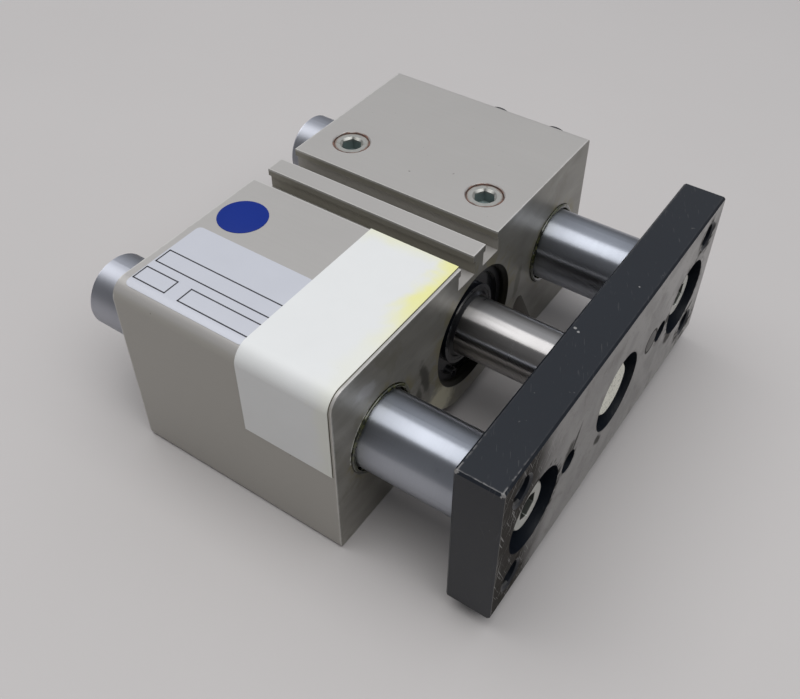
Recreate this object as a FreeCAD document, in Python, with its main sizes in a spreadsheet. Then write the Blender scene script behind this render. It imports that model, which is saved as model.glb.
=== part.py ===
import FreeCAD, Part

import math
import os

import Sketcher
from FreeCAD import Placement, Rotation, Vector

# Guided pneumatic cylinder, in millimetres.
#
# +X is the way the rods extend, +Y runs across the housing and +Z is up. The origin is on the base
# plane, under the middle of the housing. Every piece is drawn about its own axis, with its X
# measured from the housing's front face, and then placed. "Left" is -Y and "right" is +Y.

SIZES = {
    # Extruded housing.
    "body_length": 62.5,
    "body_width": 115.5,
    "body_height": 52.0,
    "axis_rise": 1.2,
    "near_edge_radius": 4.5,
    "edge_radius": 1.2,
    "barrel_wall": 7.3,
    "barrel_floor": 6.3,
    "pocket_radius": 2.5,
    "pocket_drop": 10.15,
    "foot_inset": 4.6,
    # Sensor slots beside the rail on top.
    "rail_width": 5.4,
    "slot_mouth": 5.65,
    "slot_width": 7.3,
    "slot_depth": 6.0,
    "slot_lip": 2.0,
    "roof_wall": 2.8,
    # Long bores and the ring grooves in them.
    "bore_chamfer": 1.0,
    "ring_groove_depth": 0.85,
    "guide_margin": 17.15,
    "guide_wall": 1.5,
    "guide_chamfer": 0.2,
    "snap_wire": 1.2,
    "snap_setback": 1.1,
    "snap_gap": 15.0,
    # Air ports and base threads.
    "port_diameter": 9.8,
    "port_depth": 9.0,
    "port_chamfer": 0.35,
    "port_setback": 10.4,
    "port_offset": 19.5,
    "side_port_setback": 10.9,
    "side_port_pitch": 17.7,
    "side_port_drop": 6.5,
    "passage_diameter": 3.5,
    "base_thread_core": 5.0,
    "base_thread_wall": 3.7,
    "base_margin_long": 11.25,
    "base_margin_wide": 11.75,
    # Rods and running fits.
    "piston_rod_diameter": 16.0,
    "guide_rod_diameter": 20.0,
    "running_clearance": 0.05,
    "seat_clearance": 0.05,
    "rod_chamfer": 1.0,
    "rear_overhang": 22.5,
    # Gland in the front of the barrel.
    "gland_recess": 3.2,
    "gland_flange": 5.5,
    "gland_length": 11.0,
    "gland_gap": 0.3,
    "nose_wall": 4.0,
    "collar_wall": 3.0,
    "collar_height": 1.5,
    "wiper_wall": 2.0,
    "wiper_depth": 2.7,
    "wiper_lip": 0.6,
    "wiper_tip": 0.4,
    "wiper_root": 1.1,
    "wiper_relief": 0.5,
    "wiper_land": 1.5,
    "gland_wall": 0.8,
    "seal_wall": 3.0,
    "seal_width": 3.0,
    "seal_edge": 0.3,
    "seal_mouth": 0.6,
    "seal_notch": 1.5,
    "seal_lead": 0.8,
    "bush_wall": 1.0,
    "o_ring_section": 2.0,
    "o_ring_groove": 2.6,
    "ring_thickness": 1.2,
    "ring_width": 2.6,
    "ring_gap": 34.0,
    "ear_radius": 1.7,
    "ear_rise": 0.6,
    "ear_hole_radius": 0.9,
    # End cap in the rear of the barrel.
    "cap_setback": 2.7,
    "cap_thickness": 6.0,
    "cap_dish_radius": 9.0,
    "cap_dish_depth": 1.0,
    # Guide bushes and wipers.
    "guide_bush_length": 20.0,
    "guide_wiper_width": 3.0,
    "guide_wiper_setback": 1.8,
    "guide_lip_width": 0.6,
    "guide_lip_reach": 1.1,
    "guide_lip_slope": 0.2,
    "bush_gap": 0.2,
    # Piston.
    "piston_length": 11.0,
    "stop_gap": 0.3,
    "bumper_thickness": 1.5,
    "bumper_wall": 3.5,
    "bumper_gap": 0.8,
    "piston_clearance": 0.5,
    "spigot_step": 2.0,
    "spigot_length": 4.9,
    "piston_web": 1.0,
    "piston_seal_width": 2.4,
    "piston_seal_depth": 3.1,
    "piston_rim": 0.8,
    "lip_edge": 0.5,
    "lip_notch": 1.2,
    "wear_ring_width": 2.8,
    "wear_ring_depth": 2.0,
    "magnet_depth": 2.5,
    "piston_screw_head": 13.0,
    "piston_screw_head_height": 5.0,
    "piston_screw_shank": 8.0,
    "piston_screw_length": 13.0,
    "head_gap": 0.3,
    "shank_gap": 0.2,
    "screw_edge": 0.5,
    # Tooling plate and its screws.
    "closed_gap": 3.3,
    "plate_thickness": 11.3,
    "plate_inset": 1.15,
    "plate_lift": 4.5,
    "plate_edge": 0.5,
    "counterbore_diameter": 21.0,
    "counterbore_depth": 9.25,
    "guide_screw_hole": 9.0,
    "guide_screw_head": 13.0,
    "guide_screw_head_height": 8.0,
    "guide_screw_shank": 8.0,
    "guide_screw_length": 16.0,
    "guide_screw_socket": 6.0,
    "rod_screw_hole": 9.0,
    "rod_screw_head": 14.0,
    "rod_screw_head_height": 8.0,
    "rod_screw_shank": 8.0,
    "rod_screw_length": 20.0,
    "thread_run_out": 2.5,
    "corner_margin_wide": 8.35,
    "corner_margin_high": 7.45,
    "corner_core": 6.8,
    "corner_mouth": 8.2,
    "corner_angle": 120.0,
    "pin_hole": 6.0,
    "pin_inset": 15.6,
    # Port plugs.
    "plug_diameter": 9.7,
    "plug_sink": 0.35,
    "plug_length": 6.5,
    "plug_chamfer": 0.7,
    "plug_socket": 5.0,
    "plug_socket_depth": 3.5,
    "side_plug_head": 11.0,
    "side_plug_proud": 2.0,
    "side_plug_dome": 1.2,
    "side_plug_edge": 0.7,
    "side_plug_stem": 6.0,
}


class Term:
    """A length worked out from the sheet: its value now, and the expression that keeps it live."""

    def __init__(self, value, text):
        self.value = value
        self.text = text

    def __add__(self, other):
        other = term(other)
        return Term(self.value + other.value, f"({self.text} + {other.text})")

    def __sub__(self, other):
        other = term(other)
        return Term(self.value - other.value, f"({self.text} - {other.text})")

    def __mul__(self, other):
        other = term(other)
        return Term(self.value * other.value, f"({self.text} * {other.text})")

    def __truediv__(self, other):
        other = term(other)
        return Term(self.value / other.value, f"({self.text} / {other.text})")

    def __neg__(self):
        return Term(-self.value, f"(0 - {self.text})")

    __radd__ = __add__
    __rmul__ = __mul__

    def __rsub__(self, other):
        return term(other) - self


def term(size):
    """Return size as a Term, so that plain numbers and sheet values mix in one sum."""
    return size if isinstance(size, Term) else Term(float(size), f"({float(size):.9f})")


def write_sheet(doc):
    """Write the driving sizes to a spreadsheet, one aliased cell each, and return them as Terms."""
    sheet = doc.addObject("Spreadsheet::Sheet", "Sizes")
    terms = {}
    for row, (alias, value) in enumerate(SIZES.items(), start=1):
        sheet.set(f"A{row}", alias.replace("_", " "))
        sheet.set(f"B{row}", str(value))
        sheet.setAlias(f"B{row}", alias)
        terms[alias] = Term(value, f"Sizes.{alias}")
    doc.recompute()
    return terms


doc = FreeCAD.newDocument("guided_cylinder")
size = write_sheet(doc)
nodes = {}

# ---------------------------------------------------------------------------------------------
# Places along X that several pieces share, measured from the housing's front face. What the
# length leaves between the end cap and the piston's rear bumper is the stroke.

FRONT = term(0)
REAR = -size["body_length"]
GLAND_FACE = -size["gland_recess"]
GLAND_END = GLAND_FACE - size["gland_length"]
CAP_BACK = REAR + size["cap_setback"]
CAP_FACE = CAP_BACK + size["cap_thickness"]
BUMPER = size["stop_gap"] + size["bumper_thickness"]
PISTON_FRONT = GLAND_END - BUMPER
PISTON_BACK = PISTON_FRONT - size["piston_length"]
STROKE = PISTON_BACK - BUMPER - CAP_FACE
PLATE_BACK = size["closed_gap"] + STROKE
PLATE_FACE = PLATE_BACK + size["plate_thickness"]
SCREW_SEAT = PLATE_FACE - size["counterbore_depth"]
FRONT_PORT = -size["port_setback"]
REAR_PORT = REAR + size["port_setback"]

# Heights and widths from the barrel's axis.
AXIS = size["body_height"] / 2 + size["axis_rise"]
TOP = size["body_height"] - AXIS
SIDE = size["body_width"] / 2
GUIDE_OFFSET = SIDE - size["guide_margin"]
PLATE_HALF_WIDTH = SIDE - size["plate_inset"]
PLATE_HALF_HEIGHT = AXIS - size["plate_lift"]

# Radii that several pieces share.
BORE = TOP - size["slot_depth"] - size["roof_wall"]
FITTED_BORE = BORE - size["seat_clearance"]
BARREL = BORE + size["barrel_wall"]
ROD = size["piston_rod_diameter"] / 2
ROD_FIT = ROD + size["running_clearance"]
GUIDE = size["guide_rod_diameter"] / 2
GUIDE_FIT = GUIDE + size["running_clearance"]
GUIDE_BORE = GUIDE + size["guide_wall"]
SPIGOT = ROD - size["spigot_step"]
SLACK = size["seat_clearance"]

# How far a cut starts inside the space that it opens into.
OVERCUT = term(1)


# ---------------------------------------------------------------------------------------------
# Drawing and feature helpers.


def new_body(label, across=0, along=0, up=0, turn=None):
    """Return a body placed at a point given from the barrel's axis at the front face."""
    body = doc.addObject("PartDesign::Body", label)
    if turn is not None:
        body.Placement = Placement(Vector(), turn)
    place = {
        "x": size["body_length"] / 2 + along,
        "y": term(across),
        "z": AXIS + up,
    }
    for axis, distance in place.items():
        body.setExpression(f"Placement.Base.{axis}", distance.text)
    return body


def origin_plane(body, role):
    """Return the body's own origin plane of that role, such as XZ_Plane."""
    return next(item for item in body.Origin.OriginFeatures if item.Role == role)


def new_sketch(body, role, name, offset=0):
    """Return a sketch on one of the body's own planes, moved along that plane's normal."""
    sketch = body.newObject("Sketcher::SketchObject", name)
    sketch.AttachmentSupport = [(origin_plane(body, role), "")]
    sketch.MapMode = "FlatFace"
    sketch.setExpression("AttachmentOffset.Base.z", term(offset).text)
    return sketch


def constrain(sketch, kind, *args):
    """Add a constraint whose last argument is a Term, bound to the sheet."""
    *where, distance = args
    index = sketch.addConstraint(Sketcher.Constraint(kind, *where, distance.value))
    sketch.setExpression(f"Constraints[{index}]", distance.text)


def pin_point(sketch, geometry, vertex, across, up):
    """Hold one vertex at its two distances from the sketch's origin."""
    constrain(sketch, "DistanceX", -1, 1, geometry, vertex, term(across))
    constrain(sketch, "DistanceY", -1, 1, geometry, vertex, term(up))


def draw_outline(sketch, corners):
    """Draw a closed outline of straight edges with every corner held."""
    corners = [(term(across), term(up)) for across, up in corners]
    points = [Vector(across.value, up.value, 0) for across, up in corners]
    first = sketch.GeometryCount
    count = len(points)
    for index, point in enumerate(points):
        sketch.addGeometry(Part.LineSegment(point, points[(index + 1) % count]), False)
    for index, (across, up) in enumerate(corners):
        after = first + (index + 1) % count
        sketch.addConstraint(Sketcher.Constraint("Coincident", first + index, 2, after, 1))
        pin_point(sketch, first + index, 1, across, up)


def draw_circle(sketch, radius, across=0, up=0):
    """Draw a circle with its centre and radius held."""
    radius, across, up = term(radius), term(across), term(up)
    centre = Vector(across.value, up.value, 0)
    circle = Part.Circle(centre, Vector(0, 0, 1), radius.value)
    index = sketch.addGeometry(circle, False)
    constrain(sketch, "Radius", index, radius)
    pin_point(sketch, index, 3, across, up)


def draw_polygon(sketch, sides, across_flats, along=0, up=0):
    """Draw a regular polygon about a point, as a hexagon socket or a light round section."""
    reach = across_flats / (2 * math.cos(math.pi / sides))
    corners = []
    for step in range(sides):
        angle = 2 * math.pi * (step + 0.5) / sides
        corners.append((along + reach * math.cos(angle), up + reach * math.sin(angle)))
    draw_outline(sketch, corners)


def extrude(body, kind, sketch, length=None, backwards=False):
    """Add a Pad or a Pocket; without a length it goes through all."""
    feature = body.newObject(f"PartDesign::{kind}", f"{kind}_{sketch.Name}")
    feature.Profile = sketch
    feature.Reversed = backwards
    if length is None:
        feature.Type = "ThroughAll"
    else:
        feature.setExpression("Length", term(length).text)
    sketch.Visibility = False
    return feature


def revolve(body, kind, sketch, angle=360):
    """Add a Revolution or a Groove about the sketch's own level axis."""
    feature = body.newObject(f"PartDesign::{kind}", f"{kind}_{sketch.Name}")
    feature.Profile = sketch
    feature.ReferenceAxis = (sketch, ["H_Axis"])
    feature.setExpression("Angle", term(angle).text)
    sketch.Visibility = False
    return feature


def mirror(body, feature):
    """Repeat a feature on the other side of the body's XZ plane."""
    repeated = body.newObject("PartDesign::Mirrored", f"Mirrored_{feature.Name}")
    repeated.Originals = [feature]
    repeated.MirrorPlane = (origin_plane(body, "XZ_Plane"), [""])
    body.Tip = repeated
    return repeated


def edges_where(feature, wanted):
    """Return the names of the feature's edges that a test picks."""
    edges = feature.Shape.Edges
    return [f"Edge{index}" for index, edge in enumerate(edges, start=1) if wanted(edge)]


def soften(body, kind, wanted, length):
    """Fillet or chamfer the picked edges of what the body holds so far."""
    doc.recompute()
    base = body.Tip
    names = edges_where(base, wanted)
    if not names:
        raise RuntimeError(f"{body.Name}: no edge to {kind.lower()}")
    feature = body.newObject(f"PartDesign::{kind}", f"{kind}_{base.Name}")
    feature.Base = (base, names)
    feature.setExpression("Radius" if kind == "Fillet" else "Size", length.text)
    return feature


def round_rim(radius, place, direction="x"):
    """Return a test for full circles of that radius whose centre lies at that place."""

    def wanted(edge):
        if not isinstance(edge.Curve, Part.Circle) or not edge.isClosed():
            return False
        same_size = abs(edge.Curve.Radius - radius.value) < 1e-4
        return same_size and abs(getattr(edge.Curve.Center, direction) - place.value) < 1e-4

    return wanted


def turned(label, corners, **place):
    """Return a body turned about its own X axis from corners given as (x, radius)."""
    body = new_body(label, **place)
    sketch = new_sketch(body, "XZ_Plane", f"{label}_half")
    draw_outline(sketch, corners)
    revolve(body, "Revolution", sketch)
    return body


def ring(label, front, back, inner, outer, **place):
    """Return a plain ring between two places along X."""
    corners = [(front, inner), (front, outer), (back, outer), (back, inner)]
    return turned(label, corners, **place)


def group(label, members):
    """Join identical pieces in one node, each still a solid of its own."""
    joined = doc.addObject("Part::Compound", label)
    joined.Links = members
    return joined


def keep(label, piece):
    """File a finished piece under its node name."""
    piece.Label = label
    nodes[label] = piece


# ---------------------------------------------------------------------------------------------
# Housing.


def housing_section(body):
    """Draw half of the extrusion's end view: slot, lobe, flared pocket and hanging barrel."""
    sketch = new_sketch(body, "YZ_Plane", "housing_section")
    rail = size["rail_width"] / 2
    mouth_middle = rail + size["slot_mouth"] / 2
    slot_near = mouth_middle - size["slot_width"] / 2
    slot_far = mouth_middle + size["slot_width"] / 2
    lip = TOP - size["slot_lip"]
    floor = TOP - size["slot_depth"]
    flat = -(BORE + size["barrel_floor"])
    inner_foot = GUIDE_OFFSET - size["foot_inset"]

    barrel = BARREL.value
    fillet = size["pocket_radius"].value
    drop = -size["pocket_drop"].value
    pocket = Vector(math.sqrt((barrel + fillet) ** 2 - drop**2), drop, 0)
    meet = pocket * (barrel / (barrel + fillet))
    flat_end = Vector(math.sqrt(barrel**2 - flat.value**2), flat.value, 0)
    foot = Vector(inner_foot.value, -AXIS.value, 0)
    reach = foot - pocket
    lean = math.atan2(reach.y, reach.x) + math.acos(fillet / reach.Length)
    tangent = pocket + Vector(math.cos(lean), math.sin(lean), 0) * fillet

    corners = [
        (inner_foot, -AXIS),
        (SIDE, -AXIS),
        (SIDE, TOP),
        (rail + size["slot_mouth"], TOP),
        (rail + size["slot_mouth"], lip),
        (slot_far, lip),
        (slot_far, floor),
        (slot_near, floor),
        (slot_near, lip),
        (rail, lip),
        (rail, TOP),
        (term(0), TOP),
        (term(0), flat),
    ]
    points = [Vector(across.value, up.value, 0) for across, up in corners]
    for start, end in zip(points, points[1:]):
        sketch.addGeometry(Part.LineSegment(start, end), False)
    straight = len(points) - 1
    barrel_flat = sketch.addGeometry(Part.LineSegment(points[-1], flat_end), False)
    middle = (flat_end + meet).normalize() * barrel
    barrel_arc = sketch.addGeometry(Part.Arc(flat_end, middle, meet), False)
    crown = pocket + Vector(0, fillet, 0)
    pocket_arc = sketch.addGeometry(Part.Arc(meet, crown, tangent), False)
    flare = sketch.addGeometry(Part.LineSegment(tangent, foot), False)

    for index, (across, up) in enumerate(corners[:-1]):
        pin_point(sketch, index, 1, across, up)
    pin_point(sketch, straight - 1, 2, *corners[-1])
    for index in range(straight):
        sketch.addConstraint(Sketcher.Constraint("Coincident", index, 2, index + 1, 1))
    sketch.addConstraint(Sketcher.Constraint("Horizontal", barrel_flat))
    sketch.addConstraint(Sketcher.Constraint("Coincident", barrel_flat, 2, barrel_arc, 1))
    sketch.addConstraint(Sketcher.Constraint("Coincident", barrel_arc, 3, -1, 1))
    constrain(sketch, "Radius", barrel_arc, BARREL)
    sketch.addConstraint(Sketcher.Constraint("Tangent", barrel_arc, 2, pocket_arc, 2))
    constrain(sketch, "Radius", pocket_arc, size["pocket_radius"])
    constrain(sketch, "DistanceY", -1, 1, pocket_arc, 3, -size["pocket_drop"])
    sketch.addConstraint(Sketcher.Constraint("Tangent", pocket_arc, 1, flare, 1))
    sketch.addConstraint(Sketcher.Constraint("Coincident", flare, 2, 0, 1))
    return sketch


def round_outer_edges(body):
    """Round the long outer edges: wide along the top of the left side, slight elsewhere."""
    side, top, base = SIDE.value, TOP.value, -AXIS.value

    def runs_along(edge, across, up):
        centre = edge.CenterOfMass
        return abs(centre.y - across) < 1e-4 and abs(centre.z - up) < 1e-4

    soften(body, "Fillet", lambda edge: runs_along(edge, -side, top), size["near_edge_radius"])
    places = [(side, top), (side, base), (-side, base)]
    soften(
        body,
        "Fillet",
        lambda edge: any(runs_along(edge, *place) for place in places),
        size["edge_radius"],
    )


def cut_bores(body):
    """Bore the barrel and both guide holes right through."""
    sketch = new_sketch(body, "YZ_Plane", "long_bores")
    draw_circle(sketch, BORE)
    draw_circle(sketch, GUIDE_BORE, GUIDE_OFFSET)
    draw_circle(sketch, GUIDE_BORE, -GUIDE_OFFSET)
    extrude(body, "Pocket", sketch)


def draw_mouths(sketch, radius, chamfer):
    """Draw the small chamfers at both ends of a bore."""
    for end, inward in ((FRONT, -chamfer), (REAR, chamfer)):
        draw_outline(sketch, [(end, radius), (end, radius + chamfer), (end + inward, radius)])


def cut_barrel_grooves(body):
    """Turn the barrel's two retaining-ring grooves and its chamfered mouths."""
    sketch = new_sketch(body, "XZ_Plane", "barrel_grooves")
    bottom = BORE + size["ring_groove_depth"]
    shallow = BORE - OVERCUT
    for near, far in (
        (GLAND_FACE + size["ring_thickness"], GLAND_FACE),
        (CAP_BACK, CAP_BACK - size["ring_thickness"]),
    ):
        draw_outline(sketch, [(near, shallow), (near, bottom), (far, bottom), (far, shallow)])
    draw_mouths(sketch, BORE, size["bore_chamfer"])
    revolve(body, "Groove", sketch)


def cut_guide_grooves(body):
    """Turn the snap-ring grooves of the right guide bore and mirror them to the left one."""
    sketch = new_sketch(body, "XZ_Plane", "guide_grooves", -GUIDE_OFFSET)
    half = size["snap_wire"] / 2 + SLACK
    bottom = GUIDE_BORE + half
    shallow = GUIDE_BORE - OVERCUT
    for middle in (FRONT - size["snap_setback"], REAR + size["snap_setback"]):
        near, far = middle + half, middle - half
        draw_outline(sketch, [(near, shallow), (near, bottom), (far, bottom), (far, shallow)])
    draw_mouths(sketch, GUIDE_BORE, size["guide_chamfer"])
    mirror(body, revolve(body, "Groove", sketch))


def cut_ports(body):
    """Sink the two ports in the top and the two in the right side."""
    radius = size["port_diameter"] / 2
    above = new_sketch(body, "XY_Plane", "top_ports", TOP)
    for along in (FRONT_PORT, REAR_PORT):
        draw_circle(above, radius, along, size["port_offset"])
    extrude(body, "Pocket", above, size["port_depth"])
    beside = new_sketch(body, "XZ_Plane", "side_ports", -SIDE)
    for step in range(2):
        setback = size["side_port_setback"] + size["side_port_pitch"] * step
        draw_circle(beside, radius, -setback, TOP - size["side_port_drop"])
    extrude(body, "Pocket", beside, size["port_depth"], backwards=True)
    soften(body, "Chamfer", round_rim(radius, TOP, "z"), size["port_chamfer"])


def cut_base_threads(body):
    """Sink the four base threads, two in each lobe, with a wall left under the guide bores."""
    sketch = new_sketch(body, "XY_Plane", "base_threads", -AXIS)
    for along in (FRONT - size["base_margin_long"], REAR + size["base_margin_long"]):
        for side in (-1, 1):
            across = (SIDE - size["base_margin_wide"]) * side
            draw_circle(sketch, size["base_thread_core"] / 2, along, across)
    depth = AXIS - GUIDE_BORE - size["base_thread_wall"]
    extrude(body, "Pocket", sketch, depth, backwards=True)


def drill(body, name, start, end):
    """Drill an air passage between two points given as (x, y, z) Terms."""
    first = Vector(*(place.value for place in start))
    last = Vector(*(place.value for place in end))
    hole = body.newObject("PartDesign::SubtractiveCylinder", name)
    hole.setExpression("Radius", (size["passage_diameter"] / 2).text)
    hole.Height = (last - first).Length
    hole.Placement = Placement(first, Rotation(Vector(0, 0, 1), last - first))


def cut_passages(body):
    """Drill from each top port to the barrel, and from the front side port to the top one."""
    port_floor = TOP - size["port_depth"]
    for name, along in (("front", FRONT_PORT), ("rear", REAR_PORT)):
        start = (along, size["port_offset"], port_floor + OVERCUT)
        end = (along, size["port_offset"] / 2, port_floor / 2)
        drill(body, f"{name}_passage", start, end)
    level = TOP - size["side_port_drop"]
    start = (-size["side_port_setback"], SIDE - size["port_depth"] + OVERCUT, level)
    end = (-size["side_port_setback"], size["port_offset"], level)
    drill(body, "side_passage", start, end)


def make_housing():
    body = new_body("housing")
    pad = extrude(body, "Pad", housing_section(body), size["body_length"], backwards=True)
    mirror(body, pad)
    round_outer_edges(body)
    cut_bores(body)
    cut_barrel_grooves(body)
    cut_guide_grooves(body)
    cut_ports(body)
    cut_base_threads(body)
    cut_passages(body)
    keep("housing", body)


# ---------------------------------------------------------------------------------------------
# What closes the barrel.


def make_rod_gland():
    """Gland: flange with an O-ring groove, a nose that stops the piston, and stepped seats."""
    collar = GLAND_FACE + size["collar_height"]
    wiper_floor = collar - size["wiper_depth"]
    seal_front = wiper_floor - size["gland_wall"]
    seal_back = seal_front - size["seal_width"]
    bush_front = seal_back - size["gland_wall"] / 2
    flange_back = GLAND_FACE - size["gland_flange"]
    groove_front = GLAND_FACE - (size["gland_flange"] - size["o_ring_groove"]) / 2
    groove_back = groove_front - size["o_ring_groove"]
    groove_floor = FITTED_BORE - size["o_ring_section"] - SLACK
    bush = ROD_FIT + size["bush_wall"] + SLACK
    step = ROD + size["gland_gap"]
    wiper = ROD + size["wiper_wall"]
    seal = ROD + size["seal_wall"]
    nose = ROD + size["nose_wall"]
    corners = [
        (collar, wiper),
        (collar, ROD + size["collar_wall"]),
        (GLAND_FACE, ROD + size["collar_wall"]),
        (GLAND_FACE, FITTED_BORE),
        (groove_front, FITTED_BORE),
        (groove_front, groove_floor),
        (groove_back, groove_floor),
        (groove_back, FITTED_BORE),
        (flange_back, FITTED_BORE),
        (flange_back, nose),
        (GLAND_END, nose),
        (GLAND_END, bush),
        (bush_front, bush),
        (bush_front, step),
        (seal_back, step),
        (seal_back, seal),
        (seal_front, seal),
        (seal_front, step),
        (wiper_floor, step),
        (wiper_floor, wiper),
    ]
    keep("rod_gland", turned("rod_gland", corners))
    make_o_ring("gland_o_ring", (groove_front + groove_back) / 2)
    make_rod_wiper(collar, wiper_floor, wiper - SLACK)
    make_rod_seal(seal_front, seal_back, seal - SLACK)
    bush_piece = ring("rod_bush", bush_front - SLACK, GLAND_END + SLACK, ROD_FIT, bush - SLACK)
    keep("rod_bush", bush_piece)


def make_o_ring(label, middle):
    """O-ring in the groove of the gland or of the end cap."""
    section = size["o_ring_section"]
    body = new_body(label)
    sketch = new_sketch(body, "XZ_Plane", f"{label}_section")
    draw_polygon(sketch, 8, section, middle, FITTED_BORE - section / 2)
    revolve(body, "Revolution", sketch)
    keep(label, body)


def make_rod_wiper(collar, floor, outer):
    """Wiper: a heel held in the collar and a lip that stands out along the rod."""
    heel = floor + SLACK
    front = collar - SLACK
    lip = collar + size["wiper_lip"]
    relief = size["wiper_relief"]
    land = lip - size["wiper_land"]
    corners = [
        (heel, ROD_FIT + relief),
        (heel, outer),
        (front, outer),
        (front, ROD_FIT + size["wiper_root"]),
        (lip, ROD_FIT + size["wiper_tip"]),
        (lip, ROD_FIT),
        (land, ROD_FIT),
        (land - relief, ROD_FIT + relief),
    ]
    keep("rod_wiper", turned("rod_wiper", corners))


def make_rod_seal(front, back, outer):
    """Lip seal with its mouth towards the pressure side."""
    near = front - SLACK
    far = back + SLACK
    middle = (outer + ROD_FIT) / 2
    edge, mouth = size["seal_edge"], size["seal_mouth"]
    corners = [
        (near, ROD_FIT + edge),
        (near, outer - edge),
        (far, outer),
        (far, middle + mouth),
        (far + size["seal_notch"], middle),
        (far, middle - mouth),
        (far, ROD_FIT),
        (far + size["seal_lead"], ROD_FIT),
    ]
    keep("rod_seal", turned("rod_seal", corners))


def make_end_cap():
    """End cap: a disc with an O-ring groove and a shallow dish outside."""
    groove_back = CAP_BACK + (size["cap_thickness"] - size["o_ring_groove"]) / 2
    groove_front = groove_back + size["o_ring_groove"]
    groove_floor = FITTED_BORE - size["o_ring_section"] - SLACK
    dish = CAP_BACK + size["cap_dish_depth"]
    corners = [
        (CAP_FACE, 0),
        (CAP_FACE, FITTED_BORE),
        (groove_front, FITTED_BORE),
        (groove_front, groove_floor),
        (groove_back, groove_floor),
        (groove_back, FITTED_BORE),
        (CAP_BACK, FITTED_BORE),
        (CAP_BACK, size["cap_dish_radius"]),
        (dish, size["cap_dish_radius"] - size["cap_dish_depth"]),
        (dish, 0),
    ]
    keep("end_cap", turned("end_cap", corners))
    make_o_ring("end_cap_o_ring", (groove_front + groove_back) / 2)


def make_retaining_ring(label, near):
    """Open ring for a bore: a band in the groove, and two ears with holes at its gap."""
    far = near - size["ring_thickness"]
    outer = BORE + size["ring_groove_depth"] - SLACK
    inner = outer - size["ring_width"]
    turn = Rotation(Vector(1, 0, 0), 180 + SIZES["ring_gap"] / 2)
    body = new_body(label, turn=turn)
    band = new_sketch(body, "XZ_Plane", f"{label}_band")
    draw_outline(band, [(near, inner), (near, outer), (far, outer), (far, inner)])
    revolve(body, "Revolution", band, 360 - size["ring_gap"])
    ears = new_sketch(body, "YZ_Plane", f"{label}_ears", far)
    holes = new_sketch(body, "YZ_Plane", f"{label}_ear_holes", near)
    reach = inner + size["ear_rise"]
    lean = math.radians(SIZES["ring_gap"])
    swing = math.atan(SIZES["ear_radius"] / reach.value)
    for angle in (-swing, swing + lean):
        across, up = reach * math.sin(angle), reach * math.cos(angle)
        draw_circle(ears, size["ear_radius"], across, up)
        draw_circle(holes, size["ear_hole_radius"], across, up)
    extrude(body, "Pad", ears, size["ring_thickness"])
    extrude(body, "Pocket", holes)
    keep(label, body)


# ---------------------------------------------------------------------------------------------
# What guides the guide rods.


def make_guide_fittings():
    """Bush, wiper and snap ring at each end of both guide bores."""
    rings = []
    for side, across in (("left", -GUIDE_OFFSET), ("right", GUIDE_OFFSET)):
        for end, place, inward in (("front", FRONT, -1), ("rear", REAR, 1)):
            make_guide_wiper(f"guide_wiper_{end}_{side}", across, place, inward)
            make_guide_bush(f"guide_bush_{end}_{side}", across, place, inward)
            rings.append(snap_ring(f"snap_ring_{end}_{side}", across, place, inward))
    keep("guide_snap_rings", group("guide_snap_rings", rings))


def make_guide_wiper(label, across, place, inward):
    """Wiper behind the snap ring, with a lip that reaches out under the ring."""
    near = place + size["guide_wiper_setback"] * inward
    far = near + size["guide_wiper_width"] * inward
    lip = near - size["guide_lip_reach"] * inward
    outer = GUIDE_BORE - SLACK
    lip_top = GUIDE_FIT + size["guide_lip_width"]
    corners = [
        (lip, GUIDE_FIT),
        (lip, lip_top - size["guide_lip_slope"]),
        (near, lip_top),
        (near, outer),
        (far, outer),
        (far, GUIDE_FIT),
    ]
    keep(label, turned(label, corners, across=across))


def make_guide_bush(label, across, place, inward):
    """Plain bush that the guide rod slides in."""
    setback = size["guide_wiper_setback"] + size["guide_wiper_width"] + size["bush_gap"]
    near = place + setback * inward
    far = near + size["guide_bush_length"] * inward
    keep(label, ring(label, near, far, GUIDE_FIT, GUIDE_BORE - SLACK, across=across))


def snap_ring(label, across, place, inward):
    """Open wire ring in the groove at the mouth of a guide bore, with its gap downwards."""
    turn = Rotation(Vector(1, 0, 0), 180 + SIZES["snap_gap"] / 2)
    body = new_body(label, across=across, turn=turn)
    sketch = new_sketch(body, "XZ_Plane", f"{label}_wire")
    middle = place + size["snap_setback"] * inward
    draw_polygon(sketch, 8, size["snap_wire"], middle, GUIDE_BORE - SLACK)
    revolve(body, "Revolution", sketch, 360 - size["snap_gap"])
    return body


# ---------------------------------------------------------------------------------------------
# Plugs in the ports.


def plug_with_socket(label, along):
    """Sunk plug with a hexagon socket, for a port in the top."""
    radius = size["plug_diameter"] / 2
    chamfer = size["plug_chamfer"]
    length = size["plug_length"]
    body = new_body(
        label,
        across=size["port_offset"],
        along=along,
        up=TOP - size["plug_sink"],
        turn=Rotation(Vector(0, 1, 0), -90),
    )
    half = new_sketch(body, "XZ_Plane", f"{label}_half")
    draw_outline(
        half,
        [(0, 0), (0, radius - chamfer), (-chamfer, radius), (-length, radius), (-length, 0)],
    )
    revolve(body, "Revolution", half)
    socket = new_sketch(body, "YZ_Plane", f"{label}_socket")
    draw_polygon(socket, 6, size["plug_socket"])
    extrude(body, "Pocket", socket, size["plug_socket_depth"])
    return body


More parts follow.
